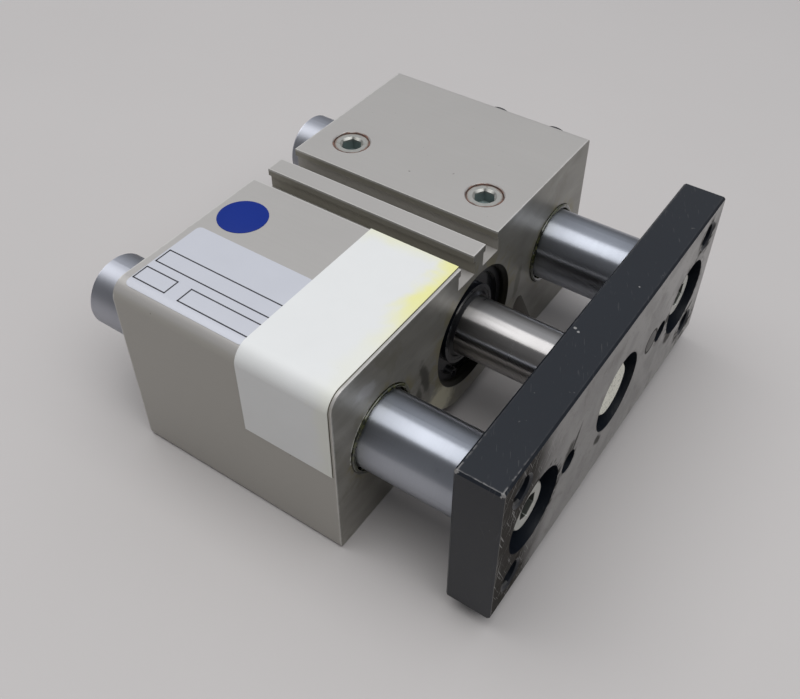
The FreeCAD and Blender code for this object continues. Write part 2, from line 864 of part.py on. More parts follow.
def side_plug(label, along):
    """Round plug with a low domed head, for a port in the side."""
    head = size["side_plug_head"] / 2
    stem = size["plug_diameter"] / 2
    proud = size["side_plug_proud"]
    return turned(
        label,
        [
            (proud, 0),
            (proud, head - size["side_plug_dome"]),
            (proud - size["side_plug_edge"], head),
            (0, head),
            (0, stem),
            (-size["side_plug_stem"], stem),
            (-size["side_plug_stem"], 0),
        ],
        across=SIDE,
        along=along,
        up=TOP - size["side_port_drop"],
        turn=Rotation(Vector(0, 0, 1), 90),
    )


def make_plugs():
    tops = [
        plug_with_socket("front_top_plug", FRONT_PORT),
        plug_with_socket("rear_top_plug", REAR_PORT),
    ]
    keep("top_port_plugs", group("top_port_plugs", tops))
    sides = []
    for step in range(2):
        along = -(size["side_port_setback"] + size["side_port_pitch"] * step)
        sides.append(side_plug(f"side_plug_{step + 1}", along))
    keep("side_port_plugs", group("side_port_plugs", sides))


# ---------------------------------------------------------------------------------------------
# Plate, rods and screws.


def sink_hole(body, sketch, diameter, cut, width, depth=None):
    """Drill the sketched holes through, each with a counterbore or a countersunk mouth."""
    doc.recompute()
    hole = body.newObject("PartDesign::Hole", f"Hole_{sketch.Name}")
    hole.Profile = sketch
    doc.recompute()
    hole.DepthType = "ThroughAll"
    hole.setExpression("Diameter", diameter.text)
    hole.HoleCutType = cut
    hole.setExpression("HoleCutDiameter", width.text)
    if depth is None:
        hole.setExpression("HoleCutCountersinkAngle", size["corner_angle"].text)
    else:
        hole.setExpression("HoleCutDepth", depth.text)
    sketch.Visibility = False
    doc.recompute()
    return hole


def make_tooling_plate():
    """Plate with three counterbores, four corner threads and two pin holes."""
    body = new_body("tooling_plate")
    blank = new_sketch(body, "YZ_Plane", "plate_blank", PLATE_BACK)
    wide, high = PLATE_HALF_WIDTH, PLATE_HALF_HEIGHT
    draw_outline(blank, [(-wide, -high), (wide, -high), (wide, high), (-wide, high)])
    extrude(body, "Pad", blank, size["plate_thickness"])
    soften(body, "Chamfer", lambda edge: True, size["plate_edge"])

    guides = new_sketch(body, "YZ_Plane", "guide_screw_holes", PLATE_FACE)
    for across in (-GUIDE_OFFSET, GUIDE_OFFSET):
        draw_circle(guides, size["guide_screw_hole"] / 2, across)
    counterbore = (size["counterbore_diameter"], size["counterbore_depth"])
    sink_hole(body, guides, size["guide_screw_hole"], "Counterbore", *counterbore)

    middle = new_sketch(body, "YZ_Plane", "rod_screw_hole", PLATE_FACE)
    draw_circle(middle, size["rod_screw_hole"] / 2)
    sink_hole(body, middle, size["rod_screw_hole"], "Counterbore", *counterbore)

    threads = new_sketch(body, "YZ_Plane", "corner_threads", PLATE_FACE)
    across, up = wide - size["corner_margin_wide"], high - size["corner_margin_high"]
    for place in ((-across, -up), (-across, up), (across, -up), (across, up)):
        draw_circle(threads, size["corner_core"] / 2, *place)
    sink_hole(body, threads, size["corner_core"], "Countersink", size["corner_mouth"])

    pins = new_sketch(body, "YZ_Plane", "pin_holes", PLATE_FACE)
    for side in (-1, 1):
        draw_circle(pins, size["pin_hole"] / 2, (GUIDE_OFFSET - size["pin_inset"]) * side)
    extrude(body, "Pocket", pins)
    keep("tooling_plate", body)


def make_guide_rods():
    """Guide rods: chamfered at the rear, tapped for the plate's screw at the front."""
    rear = REAR - size["rear_overhang"]
    tapped = size["guide_screw_shank"] / 2 + SLACK
    reach = size["guide_screw_length"] - (SCREW_SEAT - PLATE_BACK) + size["thread_run_out"]
    chamfer = size["rod_chamfer"]
    for side, across in (("left", -GUIDE_OFFSET), ("right", GUIDE_OFFSET)):
        corners = [
            (PLATE_BACK, tapped),
            (PLATE_BACK, GUIDE),
            (rear + chamfer, GUIDE),
            (rear, GUIDE - chamfer),
            (rear, 0),
            (PLATE_BACK - reach, 0),
            (PLATE_BACK - reach, tapped),
        ]
        label = f"guide_rod_{side}"
        keep(label, turned(label, corners, across=across))


def make_piston_rod():
    """Piston rod: tapped at both ends, with a spigot that centres the piston."""
    front_tap = size["rod_screw_shank"] / 2 + SLACK
    front_reach = size["rod_screw_length"] - (SCREW_SEAT - PLATE_BACK) + size["thread_run_out"]
    rear_tap = size["piston_screw_shank"] / 2 + SLACK
    spigot_end = PISTON_FRONT - size["spigot_length"]
    head_seat = spigot_end - size["piston_web"] - SLACK
    rear_reach = head_seat + size["piston_screw_length"] + size["thread_run_out"]
    corners = [
        (PLATE_BACK, front_tap),
        (PLATE_BACK, ROD),
        (PISTON_FRONT, ROD),
        (PISTON_FRONT, SPIGOT),
        (spigot_end, SPIGOT),
        (spigot_end, rear_tap),
        (rear_reach, rear_tap),
        (rear_reach, 0),
        (PLATE_BACK - front_reach, 0),
        (PLATE_BACK - front_reach, front_tap),
    ]
    keep("piston_rod", turned("piston_rod", corners))
    return head_seat


def cap_screw(label, head, head_height, shank, length, socket=None, **place):
    """Cylinder-head screw with its head seat at the body's origin and its head towards +X."""
    body = new_body(label, **place)
    half = new_sketch(body, "XZ_Plane", f"{label}_half")
    edge = size["screw_edge"]
    draw_outline(
        half,
        [
            (head_height, 0),
            (head_height, head / 2 - edge),
            (head_height - edge, head / 2),
            (0, head / 2),
            (0, shank / 2),
            (edge - length, shank / 2),
            (-length, shank / 2 - edge),
            (-length, 0),
        ],
    )
    revolve(body, "Revolution", half)
    if socket is not None:
        top = new_sketch(body, "YZ_Plane", f"{label}_socket", head_height)
        draw_polygon(top, 6, socket)
        extrude(body, "Pocket", top, head_height / 2)
    return body


def make_plate_screws():
    """Two socket screws for the guide rods, and the plain-headed one for the piston rod."""
    screws = []
    for side, across in (("left", -GUIDE_OFFSET), ("right", GUIDE_OFFSET)):
        screws.append(
            cap_screw(
                f"guide_rod_screw_{side}",
                size["guide_screw_head"],
                size["guide_screw_head_height"],
                size["guide_screw_shank"],
                size["guide_screw_length"],
                size["guide_screw_socket"],
                across=across,
                along=SCREW_SEAT,
            )
        )
    keep("guide_rod_screws", group("guide_rod_screws", screws))
    middle = cap_screw(
        "rod_screw",
        size["rod_screw_head"],
        size["rod_screw_head_height"],
        size["rod_screw_shank"],
        size["rod_screw_length"],
        along=SCREW_SEAT,
    )
    keep("rod_screw", middle)


# ---------------------------------------------------------------------------------------------
# Piston.


def make_piston(head_seat):
    """Piston: grooves for two seals and for the wear ring, counterbored for its screw."""
    outer = BORE - size["piston_clearance"]
    seal_floor = outer - size["piston_seal_depth"]
    middle = (PISTON_FRONT + PISTON_BACK) / 2
    wide = size["wear_ring_width"] / 2
    wear_floor = outer - size["wear_ring_depth"] - size["magnet_depth"]
    front_seal = PISTON_FRONT - size["piston_rim"]
    rear_seal = PISTON_BACK + size["piston_rim"]
    web_front = head_seat + size["piston_web"]
    head = size["piston_screw_head"] / 2 + size["head_gap"]
    shank = size["piston_screw_shank"] / 2 + size["shank_gap"]
    corners = [
        (PISTON_FRONT, SPIGOT + SLACK),
        (PISTON_FRONT, outer),
        (front_seal, outer),
        (front_seal, seal_floor),
        (front_seal - size["piston_seal_width"], seal_floor),
        (front_seal - size["piston_seal_width"], outer),
        (middle + wide, outer),
        (middle + wide, wear_floor),
        (middle - wide, wear_floor),
        (middle - wide, outer),
        (rear_seal + size["piston_seal_width"], outer),
        (rear_seal + size["piston_seal_width"], seal_floor),
        (rear_seal, seal_floor),
        (rear_seal, outer),
        (PISTON_BACK, outer),
        (PISTON_BACK, head),
        (head_seat, head),
        (head_seat, shank),
        (web_front, shank),
        (web_front, SPIGOT + SLACK),
    ]
    keep("piston", turned("piston", corners))

    wear_front, wear_back = middle + wide - SLACK, middle - wide + SLACK
    magnet_top = wear_floor + size["magnet_depth"]
    sliding = BORE - size["running_clearance"]
    magnet = ring("piston_magnet", wear_front, wear_back, wear_floor + SLACK, magnet_top)
    keep("piston_magnet", magnet)
    band = ring("piston_wear_ring", wear_front, wear_back, magnet_top + SLACK, sliding)
    keep("piston_wear_ring", band)
    seals = [
        lip_ring("front_piston_seal", front_seal, -1, seal_floor, sliding),
        lip_ring("rear_piston_seal", rear_seal, 1, seal_floor, sliding),
    ]
    keep("piston_seals", group("piston_seals", seals))


def lip_ring(label, mouth, inward, floor, sliding):
    """Seal in a piston groove, with its mouth at the groove's outer wall."""
    near = mouth + SLACK * inward
    far = mouth + (size["piston_seal_width"] - SLACK) * inward
    inner = floor + SLACK
    middle = (inner + sliding) / 2
    edge = size["lip_edge"]
    corners = [
        (far, inner),
        (far, sliding - edge),
        (near + edge * inward, sliding),
        (near, sliding),
        (near, middle + size["seal_mouth"]),
        (near + size["lip_notch"] * inward, middle),
        (near, middle - size["seal_mouth"]),
        (near, inner),
    ]
    return turned(label, corners)


def make_bumpers():
    """Soft rings on both faces of the piston that end the stroke."""
    front = PISTON_FRONT + size["bumper_thickness"]
    back = PISTON_BACK - size["bumper_thickness"]
    outer = ROD + size["bumper_wall"]
    hole = size["piston_screw_head"] / 2 + size["bumper_gap"]
    keep("front_bumper", ring("front_bumper", front, PISTON_FRONT, ROD + SLACK, outer))
    keep("rear_bumper", ring("rear_bumper", PISTON_BACK, back, hole, outer))


def make_piston_screw(head_seat):
    screw = cap_screw(
        "piston_screw",
        size["piston_screw_head"],
        size["piston_screw_head_height"],
        size["piston_screw_shank"],
        size["piston_screw_length"],
        size["guide_screw_socket"],
        along=head_seat,
        turn=Rotation(Vector(0, 0, 1), 180),
    )
    keep("piston_screw", screw)


# ---------------------------------------------------------------------------------------------


def build():
    make_housing()
    make_rod_gland()
    make_end_cap()
    make_retaining_ring("gland_retaining_ring", GLAND_FACE + size["ring_thickness"])
    make_retaining_ring("end_cap_retaining_ring", CAP_BACK)
    make_guide_fittings()
    make_plugs()
    make_tooling_plate()
    make_guide_rods()
    head_seat = make_piston_rod()
    make_plate_screws()
    make_piston(head_seat)
    make_bumpers()
    make_piston_screw(head_seat)
    doc.recompute()


def check():
    """Stop if any object failed or any piece is empty or broken."""
    for item in doc.Objects:
        if "Invalid" in item.State or "Error" in item.State:
            raise RuntimeError(f"{item.Label} failed: {item.State}")
    for label, piece in nodes.items():
        if piece.Shape.isNull() or not piece.Shape.isValid():
            raise RuntimeError(f"{label} has no valid shape")


def export():
    os.makedirs("parts", exist_ok=True)
    for label, piece in nodes.items():
        piece.Shape.exportStep(f"parts/{label}.step")


build()
check()
export()
for label, piece in nodes.items():
    print(f"{label}: {len(piece.Shape.Solids)} solid(s), {piece.Shape.Volume:.1f} mm3")
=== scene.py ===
"""Looks of a guided air cylinder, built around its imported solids."""

import logging
import math
from dataclasses import dataclass, field
from enum import Enum
from typing import Callable, Iterable, Mapping, Sequence, Union

import bmesh
import bpy
from mathutils import Matrix, Vector, noise


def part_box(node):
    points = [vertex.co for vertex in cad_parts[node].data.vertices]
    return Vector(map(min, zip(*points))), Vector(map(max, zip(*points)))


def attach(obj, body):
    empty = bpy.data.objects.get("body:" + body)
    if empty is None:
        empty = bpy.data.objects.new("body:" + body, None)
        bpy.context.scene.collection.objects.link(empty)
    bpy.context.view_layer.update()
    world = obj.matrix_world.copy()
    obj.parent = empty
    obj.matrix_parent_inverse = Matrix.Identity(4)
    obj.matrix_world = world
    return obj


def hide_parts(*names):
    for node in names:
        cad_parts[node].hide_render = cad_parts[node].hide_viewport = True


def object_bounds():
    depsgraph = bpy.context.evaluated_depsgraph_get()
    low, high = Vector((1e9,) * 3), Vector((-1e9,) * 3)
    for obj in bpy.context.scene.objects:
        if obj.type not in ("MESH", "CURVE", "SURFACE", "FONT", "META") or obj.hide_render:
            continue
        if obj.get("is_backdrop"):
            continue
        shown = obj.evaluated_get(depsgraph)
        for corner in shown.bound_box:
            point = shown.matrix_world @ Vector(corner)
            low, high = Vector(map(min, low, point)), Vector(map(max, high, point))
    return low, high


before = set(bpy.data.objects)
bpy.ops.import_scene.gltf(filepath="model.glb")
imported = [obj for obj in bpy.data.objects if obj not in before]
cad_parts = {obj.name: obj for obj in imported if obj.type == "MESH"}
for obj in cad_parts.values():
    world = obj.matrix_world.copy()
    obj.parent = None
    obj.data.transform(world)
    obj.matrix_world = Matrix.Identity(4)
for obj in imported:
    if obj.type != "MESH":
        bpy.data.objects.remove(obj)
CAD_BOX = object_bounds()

log = logging.getLogger("guided_cylinder")

MM = 0.001
HOUSING = "housing"
CARRIAGE = "carriage"

Socket = bpy.types.NodeSocket
Value = Union[float, Sequence[float], Socket]
Colour = tuple[float, float, float]
Point = tuple[float, float, float]

# Places that several pieces share, in millimetres.
GUIDE_OFFSET = 40.6
AXIS_HEIGHT = 27.2
HOUSING_FRONT = 31.25
PLATE_FRONT = 70.85
RAIL_HALF_WIDTH = 2.7
SLOT_MOUTH = 5.65


def shaded(colour: Colour, share: float) -> Colour:
    """Return a colour with each part scaled by a share."""
    return tuple(part * share for part in colour)


# ---------------------------------------------------------------------------------------------
# Node trees.


class Graph:
    """Adds linked nodes to one node tree with short calls."""

    def __init__(self, tree: bpy.types.NodeTree) -> None:
        """Take the tree that the nodes go into.

        Args:
            tree: Node tree of a material, a world or a group.
        """
        self.tree = tree
        self.count = 0

    def feed(self, socket: Socket, value: Value) -> None:
        """Link a socket to another one, or set its own value.

        Args:
            socket: Input to fill.
            value: Socket, number, vector or colour.
        """
        if isinstance(value, Socket):
            self.tree.links.new(value, socket)
        elif socket.type == "RGBA" and len(value) == 3:
            socket.default_value = (*value, 1.0)
        else:
            socket.default_value = value

    def add(self, kind: str, inputs: Mapping | None = None, **settings: object) -> bpy.types.Node:
        """Add a node, fill its inputs and set its options.

        Args:
            kind: Type name without its ShaderNode prefix.
            inputs: Values by socket name or number.
            **settings: Options of the node.

        Returns:
            The new node.
        """
        node = self.tree.nodes.new(f"ShaderNode{kind}")
        self.count += 1
        node.location = (220 * (self.count % 8), -260 * (self.count // 8))
        for name, setting in settings.items():
            setattr(node, name, setting)
        for key, value in (inputs or {}).items():
            self.feed(node.inputs[key], value)
        return node

    def math(self, operation: str, *values: Value) -> Socket:
        """Return one arithmetic step on numbers.

        Args:
            operation: Name of the operation, such as MULTIPLY.
            *values: Its operands.

        Returns:
            The result.
        """
        node = self.add("Math", dict(enumerate(values)), operation=operation)
        return node.outputs[0]

    def times(self, first: Value, second: Value) -> Socket:
        """Return the product of two numbers."""
        return self.math("MULTIPLY", first, second)

    def plus(self, first: Value, second: Value) -> Socket:
        """Return the sum of two numbers."""
        return self.math("ADD", first, second)

    def minus(self, first: Value, second: Value) -> Socket:
        """Return the first number less the second."""
        return self.math("SUBTRACT", first, second)

    def larger(self, first: Value, second: Value) -> Socket:
        """Return the larger of two numbers."""
        return self.math("MAXIMUM", first, second)

    def size(self, value: Value) -> Socket:
        """Return a number without its sign."""
        return self.math("ABSOLUTE", value)

    def blend(self, share: Value, first: Value, second: Value, mode: str = "MIX") -> Socket:
        """Mix two colours.

        Args:
            share: Amount of the second colour, 0 to 1.
            first: Colour at 0.
            second: Colour at 1.
            mode: Blend type.

        Returns:
            The mixed colour.
        """
        node = self.add("Mix", data_type="RGBA", blend_type=mode)
        for key, value in ((0, share), (6, first), (7, second)):
            self.feed(node.inputs[key], value)
        return node.outputs[2]

    def fade(self, value: Value, low: float, high: float) -> Socket:
        """Return 0 below low and 1 above high, with a soft step between; high may be the lower.

        Args:
            value: Number to step on.
            low: Where the result is 0.
            high: Where it is 1.

        Returns:
            The step.
        """
        node = self.add("MapRange", {0: value, 1: low, 2: high}, interpolation_type="SMOOTHSTEP")
        return node.outputs[0]

    def between(self, value: Value, low: float, high: float) -> Socket:
        """Rescale a 0 to 1 number to the span from low to high."""
        return self.add("MapRange", {0: value, 3: low, 4: high}).outputs[0]

    def cloud(self, vector: Socket, scale: Value, detail: float = 2.0, warp: float = 0.0) -> Socket:
        """Return fractal noise about 0.5.

        Args:
            vector: Place in millimetres.
            scale: Features per millimetre.
            detail: Octaves.
            warp: Distortion.

        Returns:
            The noise.
        """
        inputs = {"Vector": vector, "Scale": scale, "Detail": detail, "Distortion": warp}
        return self.add("TexNoise", inputs).outputs["Fac"]

    def stretch(self, vector: Socket, scale: Sequence[float], turn: Sequence[float] = (0, 0, 0)) -> Socket:
        """Turn and scale a place with a Mapping node.

        Args:
            vector: Place to change.
            scale: Factor on each axis.
            turn: Euler angles in radians.

        Returns:
            The new place.
        """
        inputs = {"Vector": vector, "Scale": scale, "Rotation": turn}
        return self.add("Mapping", inputs).outputs[0]

    def split(self, vector: Socket) -> tuple[Socket, Socket, Socket]:
        """Return the three parts of a vector."""
        return tuple(self.add("SeparateXYZ", {0: vector}).outputs)

    def use(self, group: bpy.types.NodeTree, **inputs: Value) -> bpy.types.Node:
        """Place a shared group and fill its inputs.

        Args:
            group: The group's node tree.
            **inputs: Values by input name.

        Returns:
            The group node.
        """
        node = self.add("Group")
        node.node_tree = group
        for name, value in inputs.items():
            self.feed(node.inputs[name.replace("_", " ")], value)
        return node

    def millimetres(self) -> Socket:
        """Return the place on the object, in millimetres."""
        place = self.add("TexCoord").outputs["Object"]
        return self.stretch(place, (1 / MM, 1 / MM, 1 / MM))


class SharedGroup:
    """Node group that is built once and placed in each material with that material's values."""

    built: dict[str, bpy.types.NodeTree] = {}

    def __init__(self, name: str, inputs: Mapping[str, object], outputs: Sequence[str]) -> None:
        """Make an empty group with its sockets.

        Args:
            name: Name of the group.
            inputs: Default of each input; a tuple makes a vector.
            outputs: Names of the number outputs.
        """
        self.tree = bpy.data.node_groups.new(name, "ShaderNodeTree")
        for label, default in inputs.items():
            kind = "NodeSocketVector" if isinstance(default, tuple) else "NodeSocketFloat"
            socket = self.tree.interface.new_socket(label, in_out="INPUT", socket_type=kind)
            socket.default_value = default
        for label in outputs:
            self.tree.interface.new_socket(label, in_out="OUTPUT", socket_type="NodeSocketFloat")
        self.graph = Graph(self.tree)
        self.source = self.tree.nodes.new("NodeGroupInput").outputs
        self.sink = self.tree.nodes.new("NodeGroupOutput").inputs

    def give(self, **results: Socket) -> bpy.types.NodeTree:
        """Link the results to the outputs.

        Args:
            **results: Socket for each output, by name.

        Returns:
            The finished tree.
        """
        for label, socket in results.items():
            self.graph.feed(self.sink[label], socket)
        return self.tree

    @classmethod
    def once(cls, name: str, make: Callable[[], bpy.types.NodeTree]) -> bpy.types.NodeTree:
        """Return the group of that name, and build it the first time.

        Args:
            name: Name of the group.
            make: Function that builds it.

        Returns:
            The group's tree.
        """
        if name not in cls.built:
            cls.built[name] = make()
        return cls.built[name]


def patches() -> bpy.types.NodeTree:
    """Return the group for cloudy marks that handling leaves."""

    def make() -> bpy.types.NodeTree:
        """Build the group."""
        group = SharedGroup("patches", {"Place": (0, 0, 0), "Scale": 0.1, "Cover": 0.5}, ["Mask"])
        graph, source = group.graph, group.source
        broad = graph.cloud(source["Place"], source["Scale"], 4.0, 0.6)
        fine = graph.cloud(source["Place"], graph.times(source["Scale"], 7.0), 3.0)
        mixed = graph.plus(graph.times(broad, 0.75), graph.times(fine, 0.25))
        start = graph.minus(0.78, graph.times(source["Cover"], 0.5))
        above = graph.minus(mixed, start)
        return group.give(Mask=graph.fade(above, 0.0, 0.14))

    return SharedGroup.once("patches", make)


def scratches() -> bpy.types.NodeTree:
    """Return the group for thin scratches that run about three ways on a face square to X."""

    def make() -> bpy.types.NodeTree:
        """Build the group."""
        group = SharedGroup("scratches", {"Place": (0, 0, 0), "Cover": 0.5}, ["Mask"])
        graph, source = group.graph, group.source
        lines = []
        for turn, along, across in ((1.15, 0.12, 3.6), (-0.8, 0.15, 4.2), (1.75, 0.10, 3.2)):
            inputs = {"Vector": source["Place"], "Angle": turn}
            turned = graph.add("VectorRotate", inputs, rotation_type="X_AXIS")
            line = graph.cloud(graph.stretch(turned.outputs[0], (0.3, along, across)), 1.0, 1.0, 0.15)
            lines.append(line)
        most = graph.larger(graph.larger(lines[0], lines[1]), lines[2])
        where = graph.cloud(source["Place"], 0.11, 2.0)
        lift = graph.times(graph.plus(where, source["Cover"]), 0.16)
        return group.give(Mask=graph.fade(graph.plus(most, lift), 0.84, 0.9))

    return SharedGroup.once("scratches", make)


def block_edges() -> bpy.types.NodeTree:
    """Return the group for how near a place is to the edges of a block."""

    def make() -> bpy.types.NodeTree:
        """Build the group."""
        inputs = {"Place": (0, 0, 0), "Centre": (0, 0, 0), "Half": (1, 1, 1), "Width": 0.5, "Inset": 0.0}
        group = SharedGroup("block_edges", inputs, ["Mask"])
        graph, source = group.graph, group.source
        offset = graph.add("VectorMath", {0: source["Place"], 1: source["Centre"]}, operation="SUBTRACT")
        size = graph.add("VectorMath", {0: offset.outputs[0]}, operation="ABSOLUTE")
        gap = graph.add("VectorMath", {0: source["Half"], 1: size.outputs[0]}, operation="SUBTRACT")
        x, y, z = graph.split(gap.outputs[0])
        largest = graph.larger(graph.larger(x, y), z)
        smallest = graph.math("MINIMUM", graph.math("MINIMUM", x, y), z)
        total = graph.plus(graph.plus(x, y), z)
        middle = graph.minus(graph.minus(total, largest), smallest)
        ragged = graph.times(graph.cloud(source["Place"], 0.7, 4.0), 2.0)
        reach = graph.times(source["Width"], ragged)
        past = graph.minus(middle, source["Inset"])
        near = graph.fade(graph.math("DIVIDE", past, reach), 1.0, 0.2)
        return group.give(Mask=graph.times(near, graph.fade(past, -0.12, 0.0)))

    return SharedGroup.once("block_edges", make)


def about_axis() -> bpy.types.NodeTree:
    """Return the group for the distance and the turn about an axis that runs along X."""

    def make() -> bpy.types.NodeTree:
        """Build the group."""
        group = SharedGroup("about_axis", {"Place": (0, 0, 0), "Across": 0.0, "Up": 0.0}, ["Radius", "Turn"])
        graph, source = group.graph, group.source
        _, y, z = graph.split(source["Place"])
        across = graph.minus(y, source["Across"])
        up = graph.minus(z, source["Up"])
        squares = graph.plus(graph.math("POWER", across, 2.0), graph.math("POWER", up, 2.0))
        return group.give(Radius=graph.math("SQRT", squares), Turn=graph.math("ARCTAN2", up, across))

    return SharedGroup.once("about_axis", make)


def blot() -> bpy.types.NodeTree:
    """Return the group for one soft-edged oval on a surface square to X."""

    def make() -> bpy.types.NodeTree:
        """Build the group."""
        inputs = {"Place": (0, 0, 0), "Middle": (0, 0, 0), "Reach": (1, 1, 1), "Lean": 0.0}
        group = SharedGroup("blot", inputs, ["Mask"])
        graph, source = group.graph, group.source
        offset = graph.add("VectorMath", {0: source["Place"], 1: source["Middle"]}, operation="SUBTRACT")
        turned = graph.add("VectorRotate", {"Vector": offset.outputs[0], "Angle": source["Lean"]},
                           rotation_type="X_AXIS")
        scaled = graph.add("VectorMath", {0: turned.outputs[0], 1: source["Reach"]}, operation="DIVIDE")
        _, across, up = graph.split(scaled.outputs[0])
        squares = graph.plus(graph.math("POWER", across, 2.0), graph.math("POWER", up, 2.0))
        ragged = graph.times(graph.cloud(source["Place"], 0.5, 4.0), 0.9)
        return group.give(Mask=graph.fade(graph.plus(graph.math("SQRT", squares), ragged), 1.45, 0.85))

    return SharedGroup.once("blot", make)


def speck() -> bpy.types.NodeTree:
    """Return the group for one small ragged spot about a point."""

    def make() -> bpy.types.NodeTree:
        """Build the group."""
        group = SharedGroup("speck", {"Place": (0, 0, 0), "Middle": (0, 0, 0), "Radius": 1.0}, ["Mask"])
        graph, source = group.graph, group.source
        gap = graph.add("VectorMath", {0: source["Place"], 1: source["Middle"]}, operation="DISTANCE")
        ragged = graph.times(graph.cloud(source["Place"], 1.6, 3.0), 2.0)
        reach = graph.times(source["Radius"], ragged)
        share = graph.math("DIVIDE", gap.outputs["Value"], reach)
        return group.give(Mask=graph.fade(share, 1.0, 0.6))

    return SharedGroup.once("speck", make)


def grain() -> bpy.types.NodeTree:
    """Return the group for the fine height of a satin or drawn surface."""

    def make() -> bpy.types.NodeTree:
        """Build the group."""
        inputs = {"Place": (0, 0, 0), "Grain": 3.0, "Draw": (1.0, 1.0, 1.0)}
        group = SharedGroup("grain", inputs, ["Height"])
        graph, source = group.graph, group.source
        drawn = graph.add("VectorMath", {0: source["Place"], 1: source["Draw"]}, operation="MULTIPLY")
        lines = graph.cloud(drawn.outputs[0], 1.0, 2.0)
        dots = graph.cloud(source["Place"], source["Grain"], 3.0)
        return group.give(Height=graph.plus(graph.times(lines, 0.5), dots))

    return SharedGroup.once("grain", make)


# ---------------------------------------------------------------------------------------------
# Finishes.


@dataclass(frozen=True)
class Finish:
    """Surface of one kind, with the numbers that are the same all over it."""

    name: str
    colour: Colour
    roughness: float = 0.5
    metallic: float = 0.0
    coat: float = 0.0
    specular: float = 0.5
    bending: float = 1.5
    streak: float = 0.0
    bump: float = 0.1
    bump_height: float = 0.02

    def paint(self, graph: Graph, place: Socket) -> dict[str, Value]:
        """Return what feeds the shader; the plain finish has light clouding and a fine grain.

        Args:
            graph: Graph of the material.
            place: Place on the object in millimetres.

        Returns:
            Values by input name, and the bump under "Height".
        """
        cloud = graph.cloud(place, 0.35, 4.0)
        shade = shaded(self.colour, 0.72)
        return {
            "Base Color": graph.blend(cloud, shade, self.colour),
            "Roughness": graph.between(cloud, self.roughness * 1.15, self.roughness * 0.85),
            "Height": graph.use(grain(), Place=place, Grain=2.5).outputs[0],
        }

    def material(self) -> bpy.types.Material:
        """Build the material.

        Returns:
            The finished material.
        """
        made = bpy.data.materials.new(self.name)
        made.use_nodes = True
        made.node_tree.nodes.clear()
        graph = Graph(made.node_tree)
        shader = graph.add("BsdfPrincipled")
        shader.inputs["Metallic"].default_value = self.metallic
        shader.inputs["Roughness"].default_value = self.roughness
        shader.inputs["Coat Weight"].default_value = self.coat
        shader.inputs["Specular IOR Level"].default_value = self.specular
        shader.inputs["IOR"].default_value = self.bending
        shader.inputs["Anisotropic"].default_value = self.streak
        shader.inputs["Anisotropic Rotation"].default_value = 0.25
        painted = self.paint(graph, graph.millimetres())
        height = painted.pop("Height", None)
        if height is not None:
            bump = graph.add("Bump", {"Height": height})
            bump.inputs["Strength"].default_value = self.bump
            bump.inputs["Distance"].default_value = self.bump_height * MM
            painted["Normal"] = bump.outputs[0]
        for name, value in painted.items():
            graph.feed(shader.inputs[name], value)
        sheet = graph.add("OutputMaterial")
        graph.feed(sheet.inputs["Surface"], shader.outputs[0])
        return made


@dataclass(frozen=True)
class Oval:
    """Soft-edged mark on a face square to X."""

    across: float
    up: float
    wide: float
    tall: float
    lean: float
    colour: Colour = (0.0, 0.0, 0.0)

    def mask(self, graph: Graph, place: Socket) -> Socket:
        """Return how far each place lies inside the mark.

        Args:
            graph: Graph of the material.
            place: Place on the object in millimetres.

        Returns:
            The mask, 0 to 1.
        """
        middle, reach = (0, self.across, self.up), (1, self.wide, self.tall)
        return graph.use(blot(), Place=place, Middle=middle, Reach=reach, Lean=self.lean).outputs[0]


